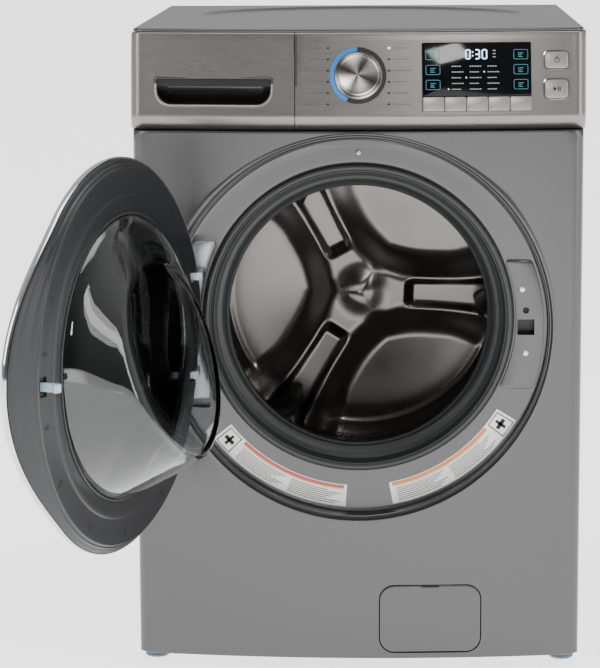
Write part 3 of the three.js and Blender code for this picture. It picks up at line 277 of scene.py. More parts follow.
def plan_front(x, half=HALF_WIDTH):
    """The bowed front's Y at x with its rounded corners."""
    reach = half - CORNER
    if abs(x) <= reach:
        return bow(x)
    over = min(abs(x) - reach, CORNER)
    return bow(reach) + CORNER - math.sqrt(max(CORNER ** 2 - over ** 2, 0))


def smooth(low, high, value):
    t = min(max((value - low) / (high - low), 0), 1)
    return t * t * (3 - 2 * t)


def on_fascia(across, rise):
    """Frame standing on the fascia's face: -Y points straight out of it."""
    z = FASCIA_LOW + rise
    y = bow(across) - 3 + (z - FACE_LOW) * math.tan(LEAN)
    turn = Matrix.Rotation(math.asin(across / BOW_RADIUS), 4, "Z") @ Matrix.Rotation(-LEAN, 4, "X")
    return Matrix.Translation((across, y, z)) @ turn


def door_frame():
    """From the closed door, about its own axis, to where it hangs open."""
    swing = Matrix.Translation(HINGE) @ Matrix.Rotation(OPEN, 4, "Z") @ Matrix.Translation(-HINGE)
    return swing @ Matrix.Translation((0, 0, RECESS_Z))


def in_metres(matrix):
    """A frame given in millimetres, for a mesh already in metres."""
    return Matrix.Translation(matrix.translation * MM) @ matrix.to_3x3().to_4x4()


DOOR = door_frame()
TUB = Matrix.Translation((0, TUB_MOUTH, TUB_Z)) @ Matrix.Rotation(-TUB_TILT, 4, "X")


# ---- Materials ----------------------------------------------------------------------------


def colour(code):
    """Linear colour of an sRGB hex value."""
    parts = [int(code[i:i + 2], 16) / 255 for i in (0, 2, 4)]
    return [c / 12.92 if c <= 0.04045 else ((c + 0.055) / 1.055) ** 2.4 for c in parts] + [1]


def add(tree, kind, links=None, **settings):
    """Adds a node with its settings; links maps a socket to a value or another node's socket."""
    node = tree.nodes.new(kind)
    for key, value in settings.items():
        setattr(node, key, value)
    for key, value in (links or {}).items():
        if isinstance(value, bpy.types.NodeSocket):
            tree.links.new(value, node.inputs[key])
        else:
            node.inputs[key].default_value = value
    return node


def finish(name, slot, dark, light, rough, grain, bump=0.0, stretch=(1, 1, 1), **values):
    """Material whose colour, roughness and height vary with one grain, its size in millimetres."""
    made = bpy.data.materials.new(name)
    made.use_nodes = True
    made["slot"] = slot
    tree = made.node_tree
    shader = tree.nodes["Principled BSDF"]
    for key, value in values.items():
        shader.inputs[key.replace("_", " ")].default_value = value
    where = add(tree, "ShaderNodeTexCoord")
    scale = [s / (grain * MM) for s in stretch]
    place = add(tree, "ShaderNodeMapping", {"Vector": where.outputs["Object"], "Scale": scale})
    fine = add(tree, "ShaderNodeTexNoise", {"Vector": place.outputs["Vector"], "Scale": 1.0,
                                            "Detail": 3.0, "Roughness": 0.6})
    tint = add(tree, "ShaderNodeMix", {0: fine.outputs["Fac"], 6: colour(dark), 7: colour(light)},
               data_type="RGBA")
    gloss = add(tree, "ShaderNodeMapRange", {"Value": fine.outputs["Fac"], "From Min": 0.25,
                                             "From Max": 0.75, "To Min": rough[0], "To Max": rough[1]})
    tree.links.new(tint.outputs[2], shader.inputs["Base Color"])
    tree.links.new(gloss.outputs["Result"], shader.inputs["Roughness"])
    if bump:
        relief = add(tree, "ShaderNodeBump", {"Height": fine.outputs["Fac"], "Strength": 1.0,
                                              "Distance": bump * MM})
        tree.links.new(relief.outputs["Normal"], shader.inputs["Normal"])
    return made


# Powder coated steel, metallic grey: fine flakes under a satin coat
body_paint = finish("powder_coated_steel", "painted_steel", "4f4e4f", "5c5b5c", (0.27, 0.34), 0.8, 0.003,
                    Metallic=0.92, Coat_Weight=0.15, Coat_Roughness=0.25)
# Brushed champagne fascia: hairlines run across it
fascia_metal = finish("brushed_champagne_fascia", "brushed_fascia", "726f6c", "8f8b87", (0.26, 0.40), 0.5,
                      0.006, stretch=(0.012, 0.3, 1), Metallic=0.85)
# Same champagne coat inside the handle pocket, painted darker as painted shade
pocket_painted_shade_metal = finish("champagne_painted_shade", "brushed_fascia", "3f3d3b", "575451", (0.24, 0.34), 0.8, 0.004,
                      Metallic=0.9)
# Polished piano black acrylic: deep gloss with the faintest ripple
gloss_black = finish("polished_black_acrylic", "black_gloss", "050607", "0a0b0d", (0.05, 0.09), 30,
                     Specular_IOR_Level=0.35)
# Moulded ABS, black: fine spark texture, semi matte
black_abs = finish("moulded_black_abs", "black_plastic", "121315", "1c1d20", (0.32, 0.44), 0.9, 0.01)
# Chrome plate: mirror with slight haze
chrome = finish("chrome_plate", "chrome", "c4c6c8", "d8dadc", (0.06, 0.12), 12, Metallic=1.0)
# Galvanised sheet: zinc spangle a few millimetres across
galvanised = finish("galvanised_sheet", "galvanised", "9ea2a4", "b9bdbf", (0.32, 0.48), 6, 0.005,
                    Metallic=0.9)
# Satin stainless steel of the drum: brushed around its axis
drum_steel = finish("satin_stainless_steel", "stainless", "7d7a76", "9a9691", (0.20, 0.32), 1.2, 0.004,
                    stretch=(1, 0.05, 1), Metallic=1.0)
# Pressed stainless end of the drum: smoother than the wall, polished by the press
pressed_steel = finish("pressed_stainless_steel", "stainless", "5d5956", "6a6663", (0.20, 0.24), 60, 0.0,
                       Metallic=1.0)
# EPDM rubber of the door seal: near black, matte, with a light bloom
rubber = finish("epdm_rubber", "rubber", "222424", "2c2e2f", (0.38, 0.5), 3.5, 0.02)
# Glass filled polypropylene of the tub
tub_plastic = finish("glass_filled_polypropylene", "tub_plastic", "c2c3c1", "d6d7d5", (0.5, 0.65), 2.5, 0.02)
# White moulded polypropylene
white_plastic = finish("white_polypropylene", "white_plastic", "dadad6", "e8e8e4", (0.38, 0.5), 2.0, 0.01)
# Cast concrete of the counterweights: sand and pores
concrete = finish("cast_concrete", "concrete", "77746f", "9b9892", (0.8, 0.95), 4, 0.3)
# As cast aluminium
cast_aluminium = finish("cast_aluminium", "cast_aluminium", "9a9c9e", "b2b4b6", (0.42, 0.58), 1.5, 0.03,
                        Metallic=0.9)
# Oiled spring and shaft steel
dark_steel = finish("oiled_steel", "dark_steel", "3c3e41", "56585c", (0.3, 0.5), 4, 0.01, Metallic=0.9)
# Ribbed belt rubber: ribs run along the belt, 2.3 mm apart
belt_rubber = finish("ribbed_belt_rubber", "belt_rubber", "121214", "202023", (0.65, 0.8), 2.3, 0.15,
                     stretch=(0.05, 1, 0.05))
# Circuit board: green solder resist
board_green = finish("solder_resist", "circuit_board", "1f4a2c", "2f6a40", (0.3, 0.45), 5)
# Blue grey moulded feet and filter cap
foot_plastic = finish("blue_grey_polypropylene", "blue_grey_plastic", "54677a", "6a7e92", (0.4, 0.55), 2,
                      0.01)
# Satin silver painted keys
key_silver = finish("silver_painted_abs", "key_plastic", "8f8c89", "9f9c98", (0.28, 0.38), 0.7, 0.003,
                    Metallic=0.7)
# Acetal latch: waxy pale blue
acetal = finish("pale_acetal", "latch_plastic", "9fb6c6", "b6c8d4", (0.3, 0.4), 2)
# Plain soot black ABS for black marks and print, also laid as painted shade in gaps, wells and holes
black_and_painted_shade = finish("matte_black_abs_and_painted_shade", "black_plastic", "050506", "0a0a0b", (0.55, 0.7), 1.5, 0.01)
# Grey screen print on the fascia and display
print_grey = finish("grey_screen_print", "white_plastic", "8f9092", "a4a5a7", (0.5, 0.6), 1.0)
# Dark screen print on the silver fascia
print_dark = finish("dark_screen_print", "black_plastic", "4a4947", "565553", (0.5, 0.6), 1.0)
# Matte vinyl stickers
sticker_white = finish("white_vinyl", "white_plastic", "dededb", "ebebe8", (0.42, 0.52), 3)
sticker_red = finish("red_vinyl", "white_plastic", "b8493c", "c55a4a", (0.42, 0.52), 3)
sticker_orange = finish("orange_vinyl", "white_plastic", "d0773a", "dc8a4c", (0.42, 0.52), 3)
sticker_ink = finish("grey_vinyl_ink", "white_plastic", "5f5f5e", "747473", (0.45, 0.55), 1.5)


def lamp_finish(name, slot, code, strength):
    """Lit light guide: evenly glowing plastic with a soft grain."""
    made = finish(name, slot, code, code, (0.3, 0.4), 2)
    shader = made.node_tree.nodes["Principled BSDF"]
    shader.inputs["Emission Color"].default_value = colour(code)
    shader.inputs["Emission Strength"].default_value = strength
    return made


# Light guides behind the fascia and the display
white_light = lamp_finish("white_light_guide", "white_plastic", "e8f4ff", 1.2)
digit_light = lamp_finish("pale_blue_segments", "white_plastic", "bfe0ff", 2.2)
teal_light = lamp_finish("teal_light_guide", "white_plastic", "2c6c7c", 0.16)
blue_light = lamp_finish("blue_light_guide", "white_plastic", "1b6fb4", 0.45)


# Clear pressed soda lime glass: polished, with the slow waves that pressing leaves
clear_glass = finish("pressed_clear_glass", "glass", "f4f8f9", "fbfdfd", (0.0, 0.03), 60, 0.15, IOR=1.5,
                     Transmission_Weight=1.0)


def knob_finish(centre):
    """Spun aluminium with anisotropic gloss, its base colour painted with four bright and dark fans round the
    axis: painted highlights across the face.
    """
    made = finish("spun_aluminium_painted_sheen", "knob_metal", "98948f", "b2aea8", (0.22, 0.32), 0.6, Metallic=1.0)
    tree = made.node_tree
    shader = tree.nodes["Principled BSDF"]
    where = add(tree, "ShaderNodeTexCoord")
    place = add(tree, "ShaderNodeMapping", {"Vector": where.outputs["Object"],
                                            "Location": [-c * MM for c in centre]})
    axes = add(tree, "ShaderNodeSeparateXYZ", {0: place.outputs["Vector"]})
    # The base colour swings between dark and light four times round the axis: painted highlight fans
    turn = add(tree, "ShaderNodeMath", {0: axes.outputs["Z"], 1: axes.outputs["X"]}, operation="ARCTAN2")
    fans = add(tree, "ShaderNodeMath", {0: turn.outputs[0], 1: 4.0}, operation="MULTIPLY")
    wave = add(tree, "ShaderNodeMath", {0: fans.outputs[0]}, operation="SINE")
    tint = add(tree, "ShaderNodeMapRange", {"Value": wave.outputs[0], "From Min": -1.0, "From Max": 1.0})
    painted_sheen = add(tree, "ShaderNodeMix", {0: tint.outputs["Result"], 6: colour("57534f"),
                                        7: colour("d8d4ce")}, data_type="RGBA")
    tree.links.new(painted_sheen.outputs[2], shader.inputs["Base Color"])
    shader.inputs["Anisotropic"].default_value = 0.6
    return made


spun_metal_painted_sheen = knob_finish((1, -420, 904))

# ---- Geometry Nodes -----------------------------------------------------------------------


def sockets(tree, inputs):
    """Gives a tree its named inputs and its geometry output."""
    for name, kind in inputs:
        tree.interface.new_socket(name, in_out="INPUT", socket_type=kind)
    tree.interface.new_socket("Geometry", in_out="OUTPUT", socket_type="NodeSocketGeometry")
    return tree.nodes.new("NodeGroupInput")


def repeat_tree():
    """One piece set on every point, turned as the point says."""
    tree = bpy.data.node_groups.new("piece_on_points", "GeometryNodeTree")
    given = sockets(tree, [("Geometry", "NodeSocketGeometry"), ("Piece", "NodeSocketObject"),
                           ("Size", "NodeSocketFloat"), ("Finish", "NodeSocketMaterial")])
    points = add(tree, "GeometryNodeMeshToPoints", {"Mesh": given.outputs["Geometry"]})
    turn = add(tree, "GeometryNodeInputNamedAttribute", {"Name": "turn"}, data_type="FLOAT_VECTOR")
    euler = add(tree, "FunctionNodeEulerToRotation", {0: turn.outputs["Attribute"]})
    piece = add(tree, "GeometryNodeObjectInfo", {"Object": given.outputs["Piece"]})
    spread = add(tree, "GeometryNodeInstanceOnPoints",
                 {"Points": points.outputs[0], "Instance": piece.outputs["Geometry"],
                  "Rotation": euler.outputs[0], "Scale": given.outputs["Size"]})
    real = add(tree, "GeometryNodeRealizeInstances", {0: spread.outputs[0]})
    clad = add(tree, "GeometryNodeSetMaterial", {0: real.outputs[0], "Material": given.outputs["Finish"]})
    add(tree, "NodeGroupOutput", {0: clad.outputs[0]})
    return tree


def perforation_tree():
    """Rows of holes round a cylinder about Y, every other row half a pitch on."""
    tree = bpy.data.node_groups.new("cylinder_perforations", "GeometryNodeTree")
    given = sockets(tree, [("Geometry", "NodeSocketGeometry"), ("Radius", "NodeSocketFloat"),
                           ("Hole", "NodeSocketFloat"), ("Columns", "NodeSocketInt"),
                           ("Rows", "NodeSocketInt"), ("Length", "NodeSocketFloat"),
                           ("Middle", "NodeSocketFloat"), ("Finish", "NodeSocketMaterial")])
    grid = add(tree, "GeometryNodeMeshGrid", {"Size X": 1.0, "Size Y": given.outputs["Length"],
                                              "Vertices X": given.outputs["Columns"],
                                              "Vertices Y": given.outputs["Rows"]})
    index = add(tree, "GeometryNodeInputIndex")
    column = add(tree, "ShaderNodeMath", {0: index.outputs[0], 1: given.outputs["Rows"]}, operation="DIVIDE")
    whole = add(tree, "ShaderNodeMath", {0: column.outputs[0]}, operation="FLOOR")
    row = add(tree, "ShaderNodeMath", {0: index.outputs[0], 1: given.outputs["Rows"]}, operation="MODULO")
    odd = add(tree, "ShaderNodeMath", {0: row.outputs[0], 1: 2.0}, operation="MODULO")
    half = add(tree, "ShaderNodeMath", {0: odd.outputs[0], 1: 0.5, 2: whole.outputs[0]},
               operation="MULTIPLY_ADD")
    share = add(tree, "ShaderNodeMath", {0: half.outputs[0], 1: given.outputs["Columns"]}, operation="DIVIDE")
    turn = add(tree, "ShaderNodeMath", {0: share.outputs[0], 1: 2 * math.pi}, operation="MULTIPLY")
    across = add(tree, "ShaderNodeMath", {0: turn.outputs[0]}, operation="COSINE")
    up = add(tree, "ShaderNodeMath", {0: turn.outputs[0]}, operation="SINE")
    at = add(tree, "GeometryNodeInputPosition")
    axes = add(tree, "ShaderNodeSeparateXYZ", {0: at.outputs[0]})
    along = add(tree, "ShaderNodeMath", {0: axes.outputs["Y"], 1: given.outputs["Middle"]}, operation="ADD")
    outward = add(tree, "ShaderNodeCombineXYZ", {"X": across.outputs[0], "Z": up.outputs[0]})
    ring = add(tree, "ShaderNodeVectorMath", {0: outward.outputs[0], "Scale": given.outputs["Radius"]},
               operation="SCALE")
    shift = add(tree, "ShaderNodeCombineXYZ", {"Y": along.outputs[0]})
    spot = add(tree, "ShaderNodeVectorMath", {0: ring.outputs[0], 1: shift.outputs[0]}, operation="ADD")
    placed = add(tree, "GeometryNodeSetPosition", {"Geometry": grid.outputs["Mesh"],
                                                   "Position": spot.outputs[0]})
    inward = add(tree, "ShaderNodeVectorMath", {0: outward.outputs[0], "Scale": -1.0}, operation="SCALE")
    facing = add(tree, "FunctionNodeAlignRotationToVector", {"Vector": inward.outputs[0]}, axis="Z")
    store = add(tree, "GeometryNodeStoreNamedAttribute", {"Geometry": placed.outputs[0],
                                                          "Name": "facing", "Value": facing.outputs[0]},
                data_type="QUATERNION", domain="POINT")
    points = add(tree, "GeometryNodeMeshToPoints", {"Mesh": store.outputs[0]})
    saved = add(tree, "GeometryNodeInputNamedAttribute", {"Name": "facing"}, data_type="QUATERNION")
    disc = add(tree, "GeometryNodeMeshCircle", {"Vertices": 10, "Radius": given.outputs["Hole"]},
               fill_type="NGON")
    spread = add(tree, "GeometryNodeInstanceOnPoints",
                 {"Points": points.outputs[0], "Instance": disc.outputs[0],
                  "Rotation": saved.outputs["Attribute"]})
    real = add(tree, "GeometryNodeRealizeInstances", {0: spread.outputs[0]})
    clad = add(tree, "GeometryNodeSetMaterial", {0: real.outputs[0], "Material": given.outputs["Finish"]})
    add(tree, "NodeGroupOutput", {0: clad.outputs[0]})
    return tree


def grown(tree, start, values, matrix=Matrix()):
    """Runs a tree on a starting mesh with its inputs set, and returns a plain mesh object."""
    holder = bpy.data.objects.new("grown", start)
    bpy.context.scene.collection.objects.link(holder)
    step = holder.modifiers.new("grow", "NODES")
    step.node_group = tree
    for item in tree.interface.items_tree:
        if item.in_out == "INPUT" and item.name in values:
            step[item.identifier] = values[item.name]
    found = holder.evaluated_get(bpy.context.evaluated_depsgraph_get())
    mesh = bpy.data.meshes.new_from_object(found)
    mesh.transform(matrix)
    bpy.data.objects.remove(holder)
    obj = bpy.data.objects.new("grown", mesh)
    bpy.context.scene.collection.objects.link(obj)
    return obj


def coil_tree():
    """Helical spring along Z from its origin."""
    tree = bpy.data.node_groups.new("helical_spring", "GeometryNodeTree")
    given = sockets(tree, [("Geometry", "NodeSocketGeometry"), ("Radius", "NodeSocketFloat"),
                           ("Wire", "NodeSocketFloat"), ("Length", "NodeSocketFloat"),
                           ("Turns", "NodeSocketFloat"), ("Finish", "NodeSocketMaterial")])
    helix = add(tree, "GeometryNodeCurveSpiral", {"Resolution": 20, "Rotations": given.outputs["Turns"],
                                                  "Start Radius": given.outputs["Radius"],
                                                  "End Radius": given.outputs["Radius"],
                                                  "Height": given.outputs["Length"]})
    section = add(tree, "GeometryNodeCurvePrimitiveCircle", {"Resolution": 8,
                                                             "Radius": given.outputs["Wire"]})
    wire = add(tree, "GeometryNodeCurveToMesh", {"Curve": helix.outputs[0],
                                                 "Profile Curve": section.outputs[0], "Fill Caps": True})
    real = add(tree, "GeometryNodeRealizeInstances", {0: wire.outputs[0]})
    clad = add(tree, "GeometryNodeSetMaterial", {0: real.outputs[0], "Material": given.outputs["Finish"]})
    add(tree, "NodeGroupOutput", {0: clad.outputs[0]})
    return tree


PIECE_ON_POINTS = repeat_tree()
HELICAL_SPRING = coil_tree()
PERFORATIONS = perforation_tree()


def repeated(piece, places, finish_used):
    """Copies of a piece at (point, matrix) places in millimetres, as one object."""
    mesh = bpy.data.meshes.new("places")
    mesh.from_pydata([Vector(m.translation) * MM for m in places], [], [])
    turns = mesh.attributes.new("turn", "FLOAT_VECTOR", "POINT")
    for i, m in enumerate(places):
        turns.data[i].vector = m.to_euler()
    obj = grown(PIECE_ON_POINTS, mesh, {"Piece": piece, "Size": 1.0, "Finish": finish_used})
    bpy.data.objects.remove(piece)
    return obj


def screw_head(radius=4.5):
    """Pan head with a cross recess, standing on its own origin and facing -Y."""
    head = turned([(0, -2.6), (radius * 0.5, -2.5), (radius * 0.82, -2.0), (radius, -1.0), (radius, 0.6),
                   (0, 0.6)], count=20)
    for turn in (0, 90):
        bar = loft(moved([rect(radius * 0.6, 0.5, y) for y in (-4, -1.6)],
                         Matrix.Rotation(math.radians(turn), 4, "Y")))
        head = carve(head, bar)
    return head


def rect(half_x, half_z, y, x=0, z=0):
    """Level rectangle about X and Z."""
    return [(x - half_x, y, z - half_z), (x + half_x, y, z - half_z),
            (x + half_x, y, z + half_z), (x - half_x, y, z + half_z)]


def flat_places(spots):
    """Places that face -Y."""
    return [Matrix.Translation(spot) for spot in spots]


# ---- Cabinet ------------------------------------------------------------------------------


def worktop():
    """Pressed worktop: rounded edges and a shallow crescent pressed into it."""
    setback = -3 + (FASCIA_HIGH - FACE_LOW) * math.tan(LEAN) + 4
    edge = 3.2
    low = TOP - 5
    near = [0, 0.25, 0.8, 1.7, edge]
    xs = [-HALF_WIDTH + d for d in near] + [-338, -335, -331]
    xs += [-327 + 654 * i / 164 for i in range(165)]
    xs += [331, 335, 338] + [HALF_WIDTH - d for d in reversed(near)]

    def pressed(x, y):
        outer = 270.1 - math.hypot(x, y - 53.4)
        inner = math.hypot(x, y + 275) - 374.5
        inside = min(outer, inner, (262 - abs(x)) * 0.8)
        return -3.6 * smooth(-5, 3, inside)

    rings = []
    for x in xs:
        front = plan_front(x) + setback
        steps = near + [5] + [5 + (REAR - front - 10) * i / 170 for i in range(1, 171)]
        column = [(x, front + edge * 0.2, low)]
        for d in steps + [REAR - front - d for d in reversed(near)]:
            y = front + d
            drop = max(rounding(edge, room) for room in (d, HALF_WIDTH - abs(x), REAR - y))
            column.append((x, y, TOP - drop + pressed(x, y)))
        column.append((x, REAR, low))
        rings.append(column)
    plate = loft(rings)
    skirt = block(-HALF_WIDTH + 0.3, HALF_WIDTH - 0.3, FASCIA_BACK + 0.5, REAR - 0.3, TOP - 25, TOP - 4.8)
    settle(merged("worktop", [plate, skirt]), "worktop", "cabinet", body_paint, ["top_panel"])


def side_panel(side):
    """Cabinet side: a folded sheet with a broad pressed field that stiffens it."""
    top = TOP - 25.3
    back = REAR - 2.3
    face = HALF_WIDTH
    frame_edge = [(PANEL_BACK + 0.3, 0), (back, 0), (back, top), (FASCIA_BACK + 0.3, top),
                  (FASCIA_BACK + 0.3, PANEL_HIGH + 0.3), (PANEL_BACK + 0.3, PANEL_HIGH + 0.3)]
    sheet = loft([[(x, y, z) for y, z in frame_edge] for x in (face - 2, face)])
    field = loft([[(x, y, z) for y, z in rounded(-290, 70, 600, 800, 40, inset=inset, steps=8)]
                  for inset, x in ((-2, face + 1), (0, face - 0.2), (1.5, face - 0.9), (4, face - 1.4))])
    sheet = carve(sheet, field)
    sheet.data.transform(Matrix.Scale(side, 4, (1, 0, 0)))
    form = bmesh.new()
    form.from_mesh(sheet.data)
    bmesh.ops.recalc_face_normals(form, faces=form.faces)
    form.to_mesh(sheet.data)
    form.free()
    word = "right" if side > 0 else "left"
    settle(sheet, f"side_{word}", "cabinet", body_paint, [f"side_panel_{word}"])


def ruled(low, high, left, right, front, back, edge, corner):
    """Raised strip between two upright curves, with rounded corners and a rounded front edge."""
    rows = [0, 0.4, 1.2, 2.4, 4, 5.5, 7] + [7 + (high - low - 14) * i / 40 for i in range(1, 40)]
    rows += [high - low - d for d in (7, 5.5, 4, 2.4, 1.2, 0.4, 0)]
    rings = []
    for d in rows:
        z = low + d
        near = min(d, high - low - d)
        pull = rounding(corner, near)
        x0, x1 = left(z) + pull, right(z) - pull
        top = front + rounding(edge, near)
        start, turn = max(top, front + edge), max(top, front + edge * 0.3)
        rings.append([(x0, back, z), (x0, start, z), (x0 + edge * 0.3, turn, z), (x0 + edge, top, z),
                      (x1 - edge, top, z), (x1 - edge * 0.3, turn, z), (x1, start, z), (x1, back, z)])
    return loft(rings)


def front_panel():
    """Bowed front with a beaded round recess, hinge pocket, lock pad and hatch opening."""
    count = 288
    angles = [2 * math.pi * i / count for i in range(count)]
    middle = RECESS_Z
    for cx, cz in ((HALF_WIDTH, PANEL_HIGH), (-HALF_WIDTH, PANEL_HIGH), (-HALF_WIDTH, PANEL_LOW),
                   (HALF_WIDTH, PANEL_LOW)):
        turn = math.atan2(cz - middle, cx) % (2 * math.pi)
        nearest = min(range(count), key=lambda i: abs(angles[i] - turn))
        angles[nearest] = turn

    def edge_point(t, inset):
        c, s = math.cos(t), math.sin(t)
        reach = []
        if abs(c) > 1e-9:
            reach.append(HALF_WIDTH / abs(c))
        if s > 1e-9:
            reach.append((PANEL_HIGH - middle) / s)
        if s < -1e-9:
            reach.append((PANEL_LOW - middle) / s)
        r = min(reach)
        x, z = r * c, middle + r * s
        x = max(min(x, HALF_WIDTH - inset), -HALF_WIDTH + inset)
        z = max(min(z, PANEL_HIGH - inset), PANEL_LOW + inset)
        return x, z

    rings = [[(x, PANEL_BACK, z) for x, z in (edge_point(t, 0) for t in angles)]]
    for inset in (0, 0.15, 0.5, 1.0, 1.8, 2.8, 4.2):
        ring = []
        for t in angles:
            x, z = edge_point(t, inset)
            lip = rounding(2.2, inset)
            at_lip = abs(z - PANEL_HIGH) < inset + 0.01 or abs(z - PANEL_LOW) < inset + 0.01
            ring.append((x, min(plan_front(x) + (lip if at_lip else 0), PANEL_BACK - 1), z))
        rings.append(ring)
    outer = [edge_point(t, 4.2) for t in angles]
    for share in (0.985, 0.965, 0.94, 0.9, 0.84, 0.76, 0.66, 0.55, 0.44, 0.33, 0.22, 0.12, 0.05):
        ring = []
        for t, (ex, ez) in zip(angles, outer):
            cx, cz = 301.5 * math.cos(t), middle + 301.5 * math.sin(t)
            x, z = cx + (ex - cx) * share, cz + (ez - cz) * share
            ring.append((x, plan_front(x), z))
        rings.append(ring)
    bead = [(301.5, 0), (300.6, -0.7), (299.4, -1.2), (298.2, -0.9), (297.2, 0.4), (296.4, 2.6),
            (295.4, 4.6), (294.2, 4.9), (293.0, 4.0), (291.9, 3.7), (290.9, 4.4), (290.2, 6.0)]
    for radius, depth in bead:
        rings.append([(radius * math.cos(t), plan_front(radius * math.cos(t)) + depth,
                       middle + radius * math.sin(t)) for t in angles])
    for radius, share in ((290.0, 0.25), (289.9, 0.55), (289.6, 0.8), (288.6, 0.93), (286.8, 0.99),
                          (284.0, 1.0)):
        ring = []
        for t in angles:
            x = radius * math.cos(t)
            start = plan_front(x) + 6
            ring.append((x, start + (FLOOR - start) * share, middle + radius * math.sin(t)))
        rings.append(ring)
    for radius, y, share in ((270, FLOOR, 0.3), (250, FLOOR, 0.7), (238, FLOOR, 1), (234.5, FLOOR + 0.4, 1),
                             (232.6, FLOOR + 1.6, 1), (232, FLOOR + 3.5, 1), (232, FLOOR + 16, 1),
                             (234, FLOOR + 16, 1), (234, FLOOR + 2.2, 1)):
        cz = middle + (MOUTH_Z - middle) * share
        rings.append([(radius * math.cos(t), y, cz + radius * math.sin(t)) for t in angles])
    rings.append([(292 * math.cos(t), FLOOR + 2.2, middle + 292 * math.sin(t)) for t in angles])
    rings.append([(303 * math.cos(t), bow(303 * math.cos(t)) + 7.5,
                   min(middle + 303 * math.sin(t), PANEL_HIGH - 0.6)) for t in angles])
    for inset, back in ((21, None), (2.2, PANEL_BACK - 4), (2.2, PANEL_BACK)):
        rings.append([(x, plan_front(x) + 7.5 if back is None else back, z)
                      for x, z in (edge_point(t, inset) for t in angles)])
    panel = loft(rings, loop=True)

    def pocket(grow):
        rows = [386 - grow + (270 + 2 * grow) * i / 40 for i in range(41)]
        left = [(-math.sqrt((287.5 + grow) ** 2 - (z - RECESS_Z) ** 2), z) for z in rows]
        right = [(min(-215 + grow, -math.sqrt(max((241 - grow) ** 2 - (z - MOUTH_Z) ** 2, 0))), z)
                 for z in reversed(rows)]
        return left + right

    panel = carve(panel, prism(pocket(2), FLOOR + 0.05, POCKET_FLOOR), "UNION")
    panel = carve(panel, prism(pocket(0), -420, POCKET_FLOOR - 2))
    panel = carve(panel, prism(rounded(32, 5, 159, 109, 24, steps=8), -430, -300))
    panel = carve(panel, block(*LOCK_SLOT))
    for x, z, radius in ((*LOCK_SENSOR, SENSOR_RADIUS), (1, 782, 4.7)):
        panel = carve(panel, loft([circle(radius, y, 24, x, z) for y in (-430, -340)]))
    settle(panel, "front_sheet", "cabinet", body_paint, ["front_panel"], crease=38)

    pad = ruled(418, 618, lambda z: math.sqrt(241.5 ** 2 - (z - MOUTH_Z) ** 2),
                lambda z: math.sqrt(285 ** 2 - (z - RECESS_Z) ** 2), FLOOR - 4, FLOOR + 1, 1.6, 7)
    pad = carve(pad, block(*LOCK_SLOT))
    pad = carve(pad, loft([circle(SENSOR_RADIUS, y, 24, *LOCK_SENSOR) for y in (-430, -340)]))
    settle(pad, "lock_pad", "cabinet", body_paint)
    plug = SENSOR_RADIUS + 0.4
    sensor = turned([(0, -371), (plug, -371), (plug, -360), (0, -360)],
                    Matrix.Translation((LOCK_SENSOR[0], 0, LOCK_SENSOR[1])), 24)
    settle(sensor, "lock_sensor", "cabinet", black_and_painted_shade)


def screws():
    """Screws of the lock, the hinge plate and the front sheet."""
    spots = [(251, FLOOR - 5, 573), (257, FLOOR - 5, 474), (-262, POCKET_FLOOR - 3.6, 634),
             (-262, POCKET_FLOOR - 3.6, 404)]
    obj = repeated(screw_head(4.6), flat_places(spots), chrome)
    settle(obj, "front_screws", "cabinet", chrome)
    top = repeated(screw_head(4.4), flat_places([(1, FLOOR - 0.2, 782)]), galvanised)
    settle(top, "panel_screw", "cabinet", galvanised)


def sticker(name, start, end, band):
    """Curved vinyl sticker on the recess floor: a coloured band, a picture box and ruled lines."""
    def printed(r0, r1, a0, a1, y=0.4):
        outline = [(x, RECESS_Z + z) for x, z in sector(r0, r1, a0, a1, 36)]
        return prism(outline, FLOOR - y, FLOOR + 0.2)

    outward = -1 if start < 270 and end < 270 else 1
    box_end = start if outward < 0 else end
    text0, text1 = (start + 8, end - 1) if outward < 0 else (start + 1, end - 8)
    base = printed(249, 284, start, end, 0.25)
    settle(base, name + "_base", "cabinet", sticker_white)
    settle(printed(250, 255.5, text0, text1), name + "_band", "cabinet", band)
    rows = [printed(256.2, 256.7, text0, text1), printed(283, 283.6, start + 0.2, end - 0.2)]
    for k in range(7):
        r = 260.5 + k * 3.2
        for column in range(2):
            a0 = text0 + 1 + column * (text1 - text0) / 2
            a1 = a0 + (text1 - text0) / 2 - 2 - 1.5 * ((k * 5 + column * 3) % 4)
            rows.append(printed(r - 0.75, r + 0.75, a0, a1))
    settle(merged("rows", rows), name + "_rows", "cabinet", sticker_ink)
    b0, b1 = (box_end + 0.8, box_end + 6.6) if outward < 0 else (box_end - 6.6, box_end - 0.8)
    marks = [printed(252, 282, b0, b0 + 0.35), printed(252, 282, b1 - 0.35, b1),
             printed(252, 253.4, b0, b1), printed(280.6, 282, b0, b1)]
    middle = (b0 + b1) / 2
    marks += [printed(258, 276, middle - 0.5, middle + 0.5), printed(264, 270, b0 + 1, b1 - 1)]
    settle(merged("marks", marks), name + "_picture", "cabinet", black_and_painted_shade)


# ---- Fascia -------------------------------------------------------------------------------


def fascia_ring(z, setback, inset, back):
    """Level outline of the fascia: bowed front, rounded corners, straight back."""
    half = FASCIA_HALF - inset
    reach = half - CORNER
    steps = 120
    ring = [(x, bow(x) + setback + inset, z) for x in
            (-reach + 2 * reach * i / steps for i in range(steps + 1))]
    corner = bow(reach) + setback + inset + CORNER
    turns = [math.pi / 2 * i / 8 for i in range(1, 9)]
    sweep = [(reach + CORNER * math.sin(t), corner - CORNER * math.cos(t), z) for t in turns]
    ring += sweep + [(half, back, z), (-half, back, z)]
    ring += [(-x, y, z) for x, y, z in reversed(sweep)]
    return ring


